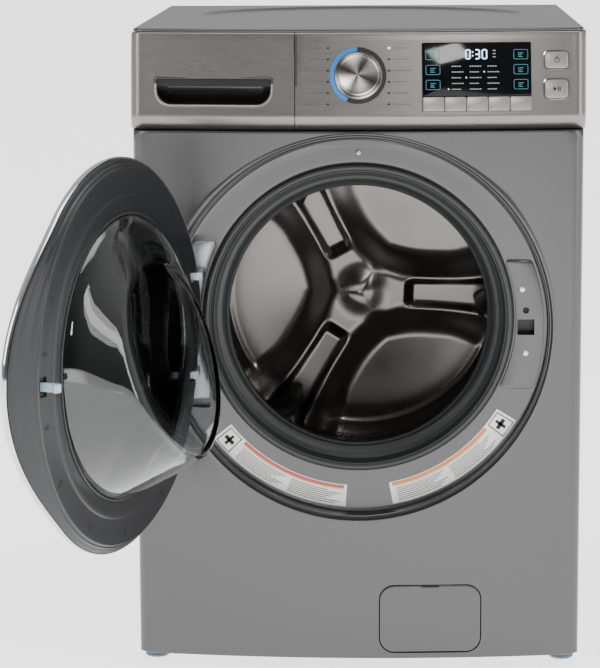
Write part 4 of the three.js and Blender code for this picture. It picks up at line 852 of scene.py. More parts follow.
def fascia_block(inset, back):
    """The fascia's solid: a lip that tucks under a rounded face that leans back."""
    profile = [(FASCIA_LOW, 13), (FASCIA_LOW + 0.4, 11.6), (FASCIA_LOW + 1.2, 10.8), (824, 5.6), (829, 1.7),
               (832, -0.3), (834.4, -1.5), (836.8, -2.35), (839.4, -2.6), (843, -1.95)]
    for i in range(1, 13):
        z = 843 + (962 - 843) * i / 12
        profile.append((z, -3 + (z - FACE_LOW) * math.tan(LEAN)))
    last = profile[-1][1]
    profile += [(963.4, last + 0.6), (964.3, last + 1.6), (FASCIA_HIGH, last + 3)]
    if inset:
        profile = [(FASCIA_LOW + inset, 12), (FACE_LOW, -2.5), (FASCIA_HIGH - inset, last + 0.6)]
    return loft([fascia_ring(z, s, inset, back) for z, s in profile])


def handle_outline(inset=0.0):
    """Outline of the drawer's handle recess."""
    return rounded(-306, 855.7, 176, 40, 2.5, 23, inset=inset, steps=8)


def slot_places():
    """Twelve indicator slots in two columns beside the knob."""
    places = []
    for side in (-1, 1):
        for k in range(6):
            across = 1.3 + side * 46
            rise = 941.6 - 16.7 * k - FASCIA_LOW
            places.append(on_fascia(across, rise))
    return places


def fascia_and_drawer():
    """Fascia moulding with its cut-outs, and the drawer front with its handle recess."""
    shell = carve(fascia_block(0, FASCIA_BACK), fascia_block(3, FASCIA_BACK + 9))
    left = bpy.data.objects.new("left", shell.data.copy())
    bpy.context.scene.collection.objects.link(left)
    right = carve(shell, block(-400, SEAM, -500, -200, 800, 990))
    openings = [(DISPLAY_SPOT[0], 80.5, 165.6, 103.6)]
    openings += [(BUTTON_ACROSS, rise, 37.2, height + 1.2) for _, rise, height in BUTTONS]
    for across, rise, width, height in openings:
        radius = 1.5 if width > 100 else 6
        outline = rounded(-width / 2, -height / 2, width, height, radius)
        right = carve(right, prism(outline, -20, 20, on_fascia(across, rise)))
    right = carve(right, loft(moved([circle(5, y, 24) for y in (-20, 20)], on_fascia(*KNOB_SPOT))))
    wall = block(SEAM, SEAM + 3, -396, FASCIA_BACK, 822, 960)
    settle(right, "fascia_right", "cabinet", fascia_metal, ["control_fascia"])
    settle(wall, "fascia_end_wall", "cabinet", black_abs)

    left = carve(left, block(SEAM - 1.2, 400, -500, -200, 800, 990))
    left = carve(left, block(-400, 400, -348.5, -200, 800, 990))
    left = carve(left, prism(handle_outline(), -430, -330))
    settle(left, "drawer_skin", "drawer", fascia_metal, ["drawer_front"])

    def face(x, z):
        return bow(x) - 3 + (z - FACE_LOW) * math.tan(LEAN)

    def ring(inset, depth, y=None):
        return [(x, face(x, z) + depth if y is None else y, z) for x, z in handle_outline(inset)]

    cup = loft([ring(12, 34), ring(5, 28), ring(1, 18), ring(-1, 6), ring(-2.6, 3), ring(-3.0, -0.3),
                ring(-2.2, -1.3), ring(-1.0, -1.5), ring(0.4, -0.6), ring(1.2, 1.2), ring(1.8, 6),
                ring(3, 14), ring(6, 22), ring(10, 28), ring(15, 31)])
    # The cup's darker champagne is painted shade
    settle(cup, "handle_cup", "drawer", pocket_painted_shade_metal, crease=50)
    trim = loft([ring(-3.0, 3), ring(-3.1, -0.5), ring(-2.2, -1.7), ring(-1.0, -1.8), ring(0.5, -0.8),
                 ring(1.3, 1.4), ring(1.3, 3)], loop=True)
    lower = block(-330, -110, -430, -330, 840, 888)
    settle(carve(trim, lower, "INTERSECT"), "handle_rim", "drawer", key_silver, crease=50)
    shade = loft([[(x, face(x, z) + depth, z) for x, z in rounded(-305.5, 884, 175, 11.5, 1.5)]
                  for depth in (1.2, 26)])
    settle(shade, "handle_shade", "drawer", black_and_painted_shade)


def indicators():
    """Indicator slots, printed dashes and the half ring round the knob."""
    slot = loft([rect(2.2, 1.2, y) for y in (-0.35, 0.6)])
    places = slot_places()
    settle(repeated(slot, places[:6] + places[7:], black_and_painted_shade), "indicator_slots", "cabinet", black_and_painted_shade)
    lit = loft([rect(2.2, 1.2, y) for y in (-0.4, 0.6)])
    settle(repeated(lit, [places[6]], white_light), "indicator_lit", "cabinet", white_light)
    dash = loft([rect(1.6, 0.7, y) for y in (-0.3, 0.4)])
    marks = []
    for i, place in enumerate(places):
        away = -1 if i < 6 else 1
        for k in range(5 + (i * 7) % 3):
            marks.append(place @ Matrix.Translation((away * (8.5 + 4.1 * k), 0, 0)))
    settle(repeated(dash, marks, print_dark), "dial_print", "cabinet", print_dark)

    for name, start, end, front, finish_used in (("ring_lit", 92, 246, -0.7, blue_light),
                                                 ("ring_dark", -114, 92, -0.6, black_abs)):
        band = prism(sector(36.4, 42.6, start, end, 48), front, 1, on_fascia(*KNOB_SPOT))
        settle(band, name, "cabinet", finish_used)


def knob():
    """Selector knob: a skirted cap with a spun face and a pointer."""
    face = on_fascia(*KNOB_SPOT)
    profile = [(0, -24.2), (27.5, -24.4), (29.2, -24.9), (30.6, -24.6), (31.6, -23.6), (32, -22), (32.2, -12),
               (32.6, -6), (33.6, -4.6), (35, -4.2), (35, -1.6), (31, -1.2), (3.5, -1), (3.5, 12), (0, 12)]
    settle(turned(profile, face, 128), "knob_body", "knob", spun_metal_painted_sheen, ["program_knob"], crease=28)
    bar = cushioned(lambda inset: rounded(-1, 17, 2, 9, 1, inset=inset, steps=3), -25.0, -23, 0.4,
                    face @ Matrix.Rotation(math.radians(32), 4, "Y"))
    settle(bar, "knob_pointer", "knob", black_and_painted_shade)


def segment_digit(value, x, z, width, height, stroke):
    """Lit bars of one seven segment digit, each a small plate."""
    half = height / 2
    bars = {"a": (x + stroke, z + height - stroke, width - 2 * stroke, stroke),
            "g": (x + stroke, z + half - stroke / 2, width - 2 * stroke, stroke),
            "d": (x + stroke, z, width - 2 * stroke, stroke),
            "f": (x, z + half + 0.4, stroke, half - stroke),
            "b": (x + width - stroke, z + half + 0.4, stroke, half - stroke),
            "e": (x, z + stroke - 0.4, stroke, half - stroke),
            "c": (x + width - stroke, z + stroke - 0.4, stroke, half - stroke)}
    lit = {"0": "abcdef", "3": "abgcd"}[value]
    return [bars[key] for key in lit]


def plates(rows, matrix, y0=-1.25, y1=-0.9):
    """Small flat plates, each given by its left, low, width and height."""
    parts = [prism([(x, z), (x + w, z), (x + w, z + h), (x, z + h)], y0, y1, matrix) for x, z, w, h in rows]
    return merged("plates", parts)


def display():
    """Display lens with lit digits, setting marks and outlined touch keys, all without words."""
    panel = on_fascia(*DISPLAY_SPOT)
    window = cushioned(lambda inset: rounded(-82.5, -40.1, 165, 80.6, 5, inset=inset), -1, 3, 0.7, panel)
    settle(window, "display_glass", "cabinet", gloss_black, ["display_window"])
    digits = []
    for value, x in (("0", -17.5), ("3", -3.5), ("0", 7.5)):
        digits += segment_digit(value, x, 15, 8.2, 15, 1.7)
    digits += [(-7.0, 19.5, 1.7, 1.7), (-7.0, 25.2, 1.7, 1.7)]
    settle(plates(digits, panel), "display_digits", "cabinet", digit_light)
    marks = [(24, 27.4, 4.5, 1.2), (24, 22.6, 4.5, 1.2), (24, 17.8, 4.5, 1.2)]
    columns = (-38, -11, 16)
    for row in range(5):
        for column, x in enumerate(columns):
            z = 4 - row * 8.6
            marks += [(x + 3.7 * k, z, 2.6, 1.3) for k in range(4 + (row + column) % 2)]
    settle(plates(marks, panel), "display_print", "cabinet", print_grey)
    lit = [(x, 4 - row * 8.6, 1.6, 1.6) for x, row in ((-44, 4), (-17, 2), (10, 1))]
    settle(plates(lit, panel), "display_markers", "cabinet", white_light)
    frames, icons = [], []
    for side in (-1, 1):
        for row in range(3):
            cx, cz = side * 66.5, 22 - row * 22.5
            outer = rounded(cx - 11, cz - 7.5, 22, 15, 2.5)
            inner = rounded(cx - 10.2, cz - 6.7, 20.4, 13.4, 1.7)
            edges = ((outer, -1.25), (inner, -1.25), (inner, -0.9), (outer, -0.9))
            frames.append(loft(moved([[(x, y, z) for x, z in edge] for edge, y in edges], panel), loop=True))
            icons += [(cx - 4, cz + 1.5, 8, 1.1), (cx - 4, cz - 1.2, 5.5, 1.1), (cx - 4, cz - 3.9, 7, 1.1)]
    settle(merged("frames", frames), "touch_key_outlines", "cabinet", teal_light)
    settle(plates(icons, panel), "touch_key_icons", "cabinet", teal_light)


def keys_and_buttons():
    """Five option keys, and the power and start buttons."""
    panel = on_fascia(*DISPLAY_SPOT)
    width = 33
    for i in range(5):
        place = panel @ Matrix.Translation((-82.5 + width * (i + 0.5), 0, -51.5))
        key = cushioned(lambda inset: rounded(-16.1, -11, 32.2, 21.2, 2, inset=inset), -1.6, 3, 1.1, place)
        settle(key, f"silver_key_{i + 1}", f"key_{i + 1}", key_silver, [f"option_key_{i + 1}"])
        mark = plates([(-4, 3, 8, 0.9)], place, -1.9, -1.4)
        settle(mark, f"silver_key_mark_{i + 1}", f"key_{i + 1}", print_grey)
    for name, rise, height in BUTTONS:
        place = on_fascia(BUTTON_ACROSS, rise)

        def outline(inset, height=height):
            return rounded(-18, -height / 2, 36, height, 6, inset=inset)

        button = cushioned(outline, -1.5, 5.5, 1.6, place)
        settle(button, f"{name}_cap", name, key_silver, [f"{name}_button"])
        rings = [[(x, y, z) for x, z in outline(inset)] for inset, y in
                 ((-0.7, 1), (-0.7, -0.6), (-1.3, -1.3), (-2.2, -1.2), (-2.6, 0.2), (-2.6, 1))]
        settle(loft(moved(rings, place), loop=True), f"{name}_bezel", "cabinet", chrome)
        if name == "power":
            ring = [circle(r, y, 28) for r, y in ((4.2, -1.9), (3.4, -1.9), (3.4, -1.3), (4.2, -1.3))]
            parts = [loft(moved(ring, place), loop=True), plates([(-0.5, 1.2, 1, 4.6)], place, -2.0, -1.3)]
        else:
            parts = [prism([(-5, -3.4), (0.2, 0), (-5, 3.4)], -1.9, -1.3, place),
                     plates([(2, -3.4, 1.3, 6.8), (4.6, -3.4, 1.3, 6.8)], place, -1.9, -1.3)]
        settle(merged("icon", parts), f"{name}_icon", name, black_and_painted_shade)


# ---- Door opening -------------------------------------------------------------------------


def gasket():
    """Moulded door seal: rolled lip, two ridges, a deep fold and the throat that leads to the tub."""
    lip = FLOOR - 0.4
    rear = TUB_MOUTH
    profile = [(236.5, lip), (236.5, lip - 6.5), (235.6, lip - 8.8), (233.6, lip - 10.1), (231, lip - 10.3),
               (229.2, lip - 9.2), (228.2, lip - 7.8), (227.4, lip - 8.6), (226.2, lip - 8.4),
               (225.2, lip - 5), (224.8, lip + 1), (224.4, lip + 8), (223.6, lip + 13), (221.8, lip + 15.5),
               (220.2, lip + 16.6), (218.6, lip + 20), (216, lip + 22.5), (213, lip + 23.2),
               (210.4, lip + 25.5), (208, lip + 29.5), (206, rear - 15), (205, rear - 11),
               (205, rear - 8.5), (203.4, rear - 5.5), (200.6, rear - 3.8), (200, rear - 2),
               (201, rear + 1.1), (216.3, rear + 1.1), (216.3, rear + 11), (220.3, rear + 11),
               (220.3, rear - 2.5), (208, rear - 3), (231.3, lip + 22), (231.3, lip)]
    rings = []
    for radius, y in profile:
        follow = smooth(lip + 19, rear - 7.5, y)
        ring = []
        for x, _, z in circle(radius, y, 160):
            still = Vector((x, y, z + MOUTH_Z))
            level = Vector((x, y - rear, z))
            tilted = Matrix.Rotation(-TUB_TILT, 4, "X") @ level + Vector((0, rear, TUB_Z))
            ring.append(still.lerp(tilted, follow))
        rings.append(ring)
    # The lip stays on the mouth while the throat follows the tub
    seal = settle(loft(rings, loop=True), "door_seal", None, rubber, ["door_gasket"], crease=50)
    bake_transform(seal)
    # A matte black ring laid in the gap round the seal's lip is painted shade
    clip = [circle(r, y, 160, 0, MOUTH_Z) for r, y in
            ((237.2, FLOOR + 0.1), (237.2, FLOOR - 0.6), (239.6, FLOOR - 0.6), (239.6, FLOOR + 0.1))]
    settle(loft(clip, loop=True), "seal_gap", "cabinet", black_and_painted_shade)


def hinge_fixings():
    """Bright hinge plate in its pocket with two gooseneck ears."""
    plate = ruled(398, 644, lambda z: -math.sqrt(284 ** 2 - (z - RECESS_Z) ** 2),
                  lambda z: min(-219, -math.sqrt(max(244 ** 2 - (z - MOUTH_Z) ** 2, 0))),
                  POCKET_FLOOR - 3.4, POCKET_FLOOR - 0.3, 0.8, 6)
    x, y, eye = HINGE.x, HINGE.y, 5.5
    profile = [(x + 19, POCKET_FLOOR - 2), (x + 19, y + 8), (x + 17.5, y + 1), (x + 11, y - eye),
               (x + 4, y - eye)]
    for i in range(13):
        turn = -math.pi / 2 - math.pi * i / 12
        profile.append((x + eye * math.cos(turn), y + eye * math.sin(turn)))
    profile += [(x + 8, y + eye + 0.5), (x + 12, y + eye + 4), (x + 12, POCKET_FLOOR - 2)]
    ears = []
    for z in EAR_HEIGHTS:
        ear = softened(profile, Vector((x + 9, (y + POCKET_FLOOR) / 2)),
                       ((0.6, z - 6), (0, z - 5.4), (0, z + 5.4), (0.6, z + 6)))
        bore = loft([[(x + 3.3 * math.cos(t), y + 3.3 * math.sin(t), level) for t in
                      (2 * math.pi * i / 24 for i in range(24))] for level in (z - 9, z + 9)])
        ears.append(carve(ear, bore))
    settle(merged("hinge", [plate] + ears), "hinge_plate", "cabinet", galvanised, ["hinge_bracket"])


# ---- Drum ---------------------------------------------------------------------------------


def drum():
    """Drum wall with a rolled mouth and two beads, and its rows of perforations drawn as black discs of
    painted shade.
    """
    inner, front = DRUM_INNER, DRUM_FRONT
    profile = [(202, front - 8.5), (201.2, front - 7.2), (202, front - 5.8), (205, front - 4.2),
               (212, front - 1), (236, front + 1.5), (244, front + 3), (248.5, front + 6.5),
               (inner, front + 12),
               (inner, front + 110), (inner - 1.5, front + 113), (inner - 1.5, front + 117),
               (inner, front + 120), (inner, front + 230), (inner - 1.5, front + 233),
               (inner - 1.5, front + 237), (inner, front + 240), (inner, DRUM_BACK + 6),
               (252, DRUM_BACK + 6), (252, front + 9), (245, front), (212, front - 2.5)]
    settle(turned(profile, TUB, 160), "drum_wall", "drum", drum_steel, ["drum_shell"], crease=40)
    # Black discs on the wall's inside stand for the holes: painted shade
    holes = grown(PERFORATIONS, bpy.data.meshes.new("none"),
                  {"Radius": (inner - 0.4) * MM, "Hole": 1.9 * MM, "Columns": 96, "Rows": 21,
                   "Length": 320 * MM, "Middle": 205 * MM, "Finish": black_and_painted_shade},
                  in_metres(TUB))
    settle(holes, "drum_perforations", "drum", black_and_painted_shade)


def arm_frames(x, z):
    """Distance along and across each arm of the drum's pressed end."""
    return [(x * math.cos(a) + z * math.sin(a), -x * math.sin(a) + z * math.cos(a)) for a in ARM_ANGLES]


def pressed_end():
    """Drum end with a three armed pressing: paired ribs, a channel down each arm and a hub dome."""
    count, steps = 360, 110
    rim, flat = 249.6, 243  # the end's edge, and where it turns level
    back = DRUM_BACK + 9

    def height(r, t):
        x, z = r * math.cos(t), r * math.sin(t)
        rise = 0
        for u, v in arm_frames(x, z):
            if u < -60:
                continue
            half = 46 + 24 * smooth(140, 245, u) + 44 * (1 - smooth(-60, 125, u)) ** 1.5
            shoulder = 1 - smooth(half - 34, half + 30, abs(v))
            spine = 20 * shoulder * smooth(-60, 20, u)
            channel_half = 19 + 4 * smooth(110, 230, u)
            channel = (1 - smooth(channel_half - 7, channel_half + 9, abs(v))) * smooth(68, 92, u) * 8
            rise = max(rise, spine - channel)
        rise += 9 * (1 - smooth(0, 52, r))
        rise += 2.0 * math.exp(-((r - 224) / 5) ** 2) * (1 - smooth(2, 10, rise))
        bowl = 16 * smooth(20, 240, r) * (1 - 0.6 * smooth(0, 20, rise))
        return DRUM_BACK - rise - bowl + 9

    rings = []
    for k in range(steps + 1):
        r = rim * k / steps
        ring = []
        for i in range(count):
            t = 2 * math.pi * i / count
            y = height(r, t) if r < flat else height(flat, t) + (r - flat) * 0.2
            ring.append((r * math.cos(t), y, r * math.sin(t)))
        rings.append(ring)
    rings += [circle(rim, back, count), [(0, back, 0)] * count]
    end = loft(moved(rings, TUB), cap=False)
    settle(end, "drum_end", "drum", pressed_steel, ["drum_back"], crease=60)


def lifters():
    """Moulded paddles: a rounded ridge with a row of spray holes on each flank, drawn as black discs of
    painted shade.
    """
    spots = []
    for k, angle in enumerate(ARM_ANGLES):
        turn = TUB @ Matrix.Rotation(-angle, 4, "Y")
        base, ridge, half = 248.2, 187, math.radians(9)

        def outline(inset):
            foot = base * math.cos(half)
            turns = [-half + 2 * half * i / 8 for i in range(9)]
            rows = [(base * math.cos(t), base * math.sin(t) * (1 - inset / 60)) for t in turns]
            flank = []
            for share in (0.15, 0.32, 0.5, 0.68, 0.84, 0.95, 1.0):
                z = base * math.sin(half) * (1 - share) ** 1.7 + 9 * share * (1.02 - share ** 6)
                flank.append((foot + (ridge + inset - foot) * share, max(z - inset * 0.6, 0)))
            return rows + flank + [(x, -z) for x, z in reversed(flank[:-1])]

        rings = [[(x, y, z) for x, z in outline(inset)] for inset, y in
                 ((9, 52), (4, 53), (1.4, 56), (0, 61), (0, 357), (1.4, 362), (4, 365), (9, 366))]
        body = loft(moved(rings, turn))
        settle(body, f"paddle_{k + 1}", "drum", black_abs, [f"lifter_{k + 1}"], crease=50)
        for i in range(9):
            for side in (1, -1):
                spot = Matrix.Translation((206, 85 + 31 * i, 8.2 * side))
                spots.append(turn @ spot @ Matrix.Rotation(math.radians(90 * side), 4, "X"))
    # Black discs on the flanks stand for the spray holes: painted shade
    hole = turned([(0, -1.2), (3.2, -1.2), (3.2, 0.8), (0, 0.8)], count=12)
    settle(repeated(hole, spots, black_and_painted_shade), "paddle_holes", "drum", black_and_painted_shade)


# ---- Door ---------------------------------------------------------------------------------


def door_ring(radius, y, bump=GRIP, count=192):
    """Ring about the door's axis, with the grab bulge at its free edge."""
    ring = []
    for i in range(count):
        t = 2 * math.pi * i / count
        away = abs(math.atan2(math.sin(t), math.cos(t)))
        share = 0.5 + 0.5 * math.cos(math.pi * away / GRIP_HALF) if away < GRIP_HALF else 0
        reach = radius + bump * share
        ring.append((reach * math.cos(t), y - GRIP_LIFT * share * bump / GRIP, reach * math.sin(t)))
    return ring


def door():
    """Door: chrome rim, domed outer cover, inner liner with its fixings, and the glass bowl."""
    back = TRIM_BACK + 0.3
    trim_profile = [(DOOR_RADIUS - 0.6, TRIM_BACK + 0.1), (DOOR_RADIUS, TRIM_BACK - 1.2),
                    (DOOR_RADIUS + 0.2, TRIM_BACK - 5), (DOOR_RADIUS - 0.8, DOOR_FRONT + 1.6),
                    (DOOR_RADIUS - 2.6, DOOR_FRONT + 0.2), (DOOR_RADIUS - 6, DOOR_FRONT),
                    (DOOR_RADIUS - 8.6, DOOR_FRONT + 0.6), (DOOR_RADIUS - 9, DOOR_FRONT + 2),
                    (DOOR_RADIUS - 9, TRIM_BACK + 0.1)]
    trim = loft(moved([door_ring(r, y) for r, y in trim_profile], DOOR), loop=True)
    settle(trim, "door_trim", "door", chrome, ["door_trim_ring"], crease=40)

    radius = DOOR_RADIUS - 9.3
    cover_steps = [(0, TRIM_BACK - 1, GRIP), (0, DOOR_FRONT + 2.5, GRIP), (-1.2, DOOR_FRONT + 0.9, GRIP),
                   (-4, DOOR_FRONT, 33.4), (-26, DOOR_FRONT - 7.2, 23.8), (-52, DOOR_FRONT - 10.8, 13),
                   (-80, DOOR_FRONT - 13.5, 6.8), (-120, DOOR_FRONT - 15.8, 2.5),
                   (-160, DOOR_FRONT - 17.1, 0), (-200, DOOR_FRONT - 17.8, 0), (-radius, DOOR_FRONT - 18, 0)]
    outside = [door_ring(radius + r, y, b) for r, y, b in cover_steps]
    inside = [door_ring(max(radius + r - 3, 0), y + 3, b if radius + r > 3 else 0)
              for r, y, b in reversed(cover_steps[:-1])]
    rings = outside + [door_ring(0, DOOR_FRONT - 15, 0)] + inside[:-1]
    rings += [door_ring(radius - 3, TRIM_BACK - 1)]
    cover = loft(moved(rings, DOOR), loop=True)
    settle(cover, "door_dome", "door", gloss_black, ["door_cover"], crease=50)

    rim = DOOR_RADIUS - 3
    face = DOOR_FACE
    flank = [(rim, back, GRIP), (rim + 0.2, back + 0.8, GRIP), (rim - 1.2, back + 2.6, 32),
             (rim - 3.6, back + 4.6, 26), (rim - 5.4, back + 5.4, 20), (rim - 6.2, back + 7.6, 14),
             (rim - 7.6, back + 8.9, 8), (rim - 9.4, face - 2.6, 2), (rim - 10.4, face - 1.2, 0),
             (rim - 12, face - 0.2, 0), (rim - 14, face, 0), (rim - 26, face, 0),
             (GLASS_RADIUS + 32, face, 0),
             (GLASS_RADIUS + 29.5, face + 0.2, 0), (GLASS_RADIUS + 28, face + 1.6, 0),
             (GLASS_RADIUS + 26.4, face + 2.1, 0), (GLASS_RADIUS + 22, face + 2.4, 0),
             (GLASS_RADIUS + 17, face + 2.2, 0), (GLASS_RADIUS + 14.6, face + 1.9, 0),
             (GLASS_RADIUS + 10, face + 1.8, 0), (GLASS_RADIUS + 3, face + 1.7, 0),
             (GLASS_RADIUS + 1.2, face + 0.9, 0), (GLASS_RADIUS + 0.8, face - 1, 0),
             (GLASS_RADIUS + 0.8, face - 3, 0), (rim - 17, face - 3, 0), (rim - 13, back + 5, 2),
             (rim - 6, back + 0.4, GRIP)]
    inner = loft(moved([door_ring(r, y, b) for r, y, b in flank], DOOR), loop=True)
    holes = [(-300, HINGE.x + 24, HINGE.y - 9, face + 9, z - RECESS_Z - 8, z - RECESS_Z + 8)
             for z in EAR_HEIGHTS] + [(249, 269, face - 9, face + 9, -14, 14)]
    for sides in holes:
        hole = block(*sides)
        hole.data.transform(in_metres(DOOR))
        inner = carve(inner, hole)
    settle(inner, "door_liner", "door", black_abs, ["door_inner_frame"], crease=30)
    step = loft(moved([door_ring(r, y, 0) for r, y in
                       ((rim - 10.9, face - 1.0), (rim - 11.9, face - 0.5), (rim - 12.9, face - 0.3),
                        (rim - 12.4, face + 0.35), (rim - 11.2, face - 0.1))], DOOR), loop=True)
    settle(step, "door_step_line", "door", dark_steel, crease=60)

    # Black keyhole plates on the liner stand for its keyhole openings: painted shade
    turns = [math.radians(-60 + 300 * i / 18) for i in range(1, 18)]
    outline = [(2.0, -9), (2.0, -3.6)] + [(4.2 * math.cos(t), 4.2 * math.sin(t)) for t in turns]
    keyhole = prism(outline + [(-2.0, -3.6), (-2.0, -9)], 0.25, -0.6)
    places = []
    for degrees in (10, 27, 67, 107, 132, 152, 242, 272, 299, 326, 347):
        t = math.radians(degrees)
        spot = DOOR @ Matrix.Translation((255 * math.cos(t), face + 0.15, 255 * math.sin(t)))
        places.append(spot @ Matrix.Rotation(-t - math.pi / 2, 4, "Y"))
    settle(repeated(keyhole, places, black_and_painted_shade), "door_keyholes", "door", black_and_painted_shade)

    seat = face - 3.3
    wall = 4
    depth, skew, drop = 80, 38, 4

    def bowl(radius, y, down=0, lean=0):
        return [(radius * math.cos(t), y - lean * math.sin(t), radius * math.sin(t) - down)
                for t in (2 * math.pi * i / 160 for i in range(160))]

    # Inset from the rim, then the shares of depth, drop and skew reached there
    table = [(0, 0, 0.0, 0.0), (0.6, 0.07, 0.0, 0.02), (4, 0.16, 0.04, 0.09), (10.5, 0.27, 0.1, 0.2),
             (21, 0.41, 0.22, 0.35), (32.5, 0.56, 0.4, 0.52), (43, 0.7, 0.6, 0.68), (54, 0.84, 0.8, 0.84),
             (60, 0.92, 0.92, 0.94), (65, 0.965, 0.98, 0.985), (72, 0.99, 1, 1.0), (82, 1.0, 1, 0.95),
             (102, 1.0, 1, 0.8), (134, 0.99, 1, 0.55), (168, 0.98, 1, 0.25), (206, 0.975, 1, 0)]
    outside, inside = [], []
    for inset, deep, low, leant in table:
        y = face + depth * deep
        thick = wall * (0.3 + 0.7 * min(inset / 55, 1))
        outside.append(bowl(max(GLASS_RADIUS - inset, 0), y, drop * low, skew * leant))
        inside.append(bowl(max(GLASS_RADIUS - inset - wall, 0), y - thick, drop * low, skew * leant))
    rings = [bowl(FLANGE_RADIUS, seat), bowl(GLASS_RADIUS, seat)] + outside + list(reversed(inside))
    rings += [bowl(GLASS_RADIUS - wall, seat - 6), bowl(FLANGE_RADIUS, seat - 6)]
    glass = loft(moved(rings, DOOR), loop=True)
    settle(glass, "door_window", "door", clear_glass, ["door_glass"], crease=60)

    bead = [bowl(r, y) for r, y in ((GLASS_RADIUS + 0.6, face + 1.2), (GLASS_RADIUS + 0.4, face + 3.0),
                                    (GLASS_RADIUS + 2.0, face + 3.4), (GLASS_RADIUS + 3.4, face + 2.6),
                                    (GLASS_RADIUS + 3.4, face + 1.2))]
    settle(loft(moved(bead, DOOR), loop=True), "window_bead", "door", rubber, crease=60)


def hook():
    """Latch claw with a rounded nose."""
    x = LOCK_ACROSS
    profile = [(x - 3, -391), (x + 3, -391), (x + 3, -366), (x + 6.5, -366.5), (x + 8, -364.5),
               (x + 7.2, -361.5), (x + 3.5, -358.6), (x - 0.5, -358), (x - 2.4, -359), (x - 3, -361)]
    claw = softened(profile, Vector((x + 1, -372)), ((0.8, -6), (0, -5.2), (0, 5.2), (0.8, 6)), DOOR)
    settle(claw, "latch_claw", "latch", acetal, ["latch_hook"])
    # A matte black plate in the liner's latch slot is painted shade
    slot = prism(((248, -15), (270, -15), (270, 15), (248, 15)), DOOR_FACE - 6.5, DOOR_FACE - 3.5, DOOR)
    passage = loft(moved([rect(4.5, 8, y, x + 0.5, 0) for y in (-400, -380)], DOOR))
    settle(carve(slot, passage), "latch_well", "door", black_and_painted_shade)


# ---- Low pieces ---------------------------------------------------------------------------


def hatch():
    """Drain hatch flush in the bowed front, with a pry slot at its top edge."""
    lid = loft([[(x, bow(x) + depth, z) for x, z in rounded(33, 6, 157, 107, 23, inset=inset, steps=10)]
                for inset, depth in ((40, 0), (12, 0), (3, 0), (1.4, 0.25), (0.5, 0.7), (0, 1.6), (0, 9))])
    lid = carve(lid, block(98, 125, -420, -395.5, 109.2, 112))
    settle(lid, "drain_hatch", "hatch", body_paint, ["filter_hatch"], crease=40)
    dark = loft([[(x, bow(x) + depth, z) for x, z in rounded(98, 108.8, 27, 3.6, 0.5)]
                 for depth in (2.2, 6.0)])
    settle(dark, "hatch_slot_shadow", "hatch", black_and_painted_shade)


def feet():
    """Levelling feet: a ribbed blue grey pad on a threaded stem."""
    profile = [(0, -20), (17.2, -20), (18.6, -19), (19, -17.4), (18.6, -15.6), (17.4, -15), (17.2, -13.6),
               (18, -12.6), (17.6, -10.4), (14, -9.4), (10, -8.6), (9.4, -7.4), (6, -7)]
    z = -7.0
    while z < 28:
        profile += [(6, z + 0.6), (5.2, z + 1.4), (6, z + 2.2)]
        z += 2.4
    profile += [(0, 30)]
    for end, y in (("front", -FOOT_ALONG), ("rear", FOOT_ALONG)):
        for side, x in (("left", -FOOT_ACROSS), ("right", FOOT_ACROSS)):
            name = end[0] + side[0]
            stand = Matrix.Translation((x, y, 0)) @ Matrix.Rotation(math.radians(90), 4, "X")
            settle(turned(profile, stand, 48), f"foot_pad_{name}", f"foot_{name}", foot_plastic,
                   [f"foot_{end}_{side}"])


# ---- Rear ---------------------------------------------------------------------------------


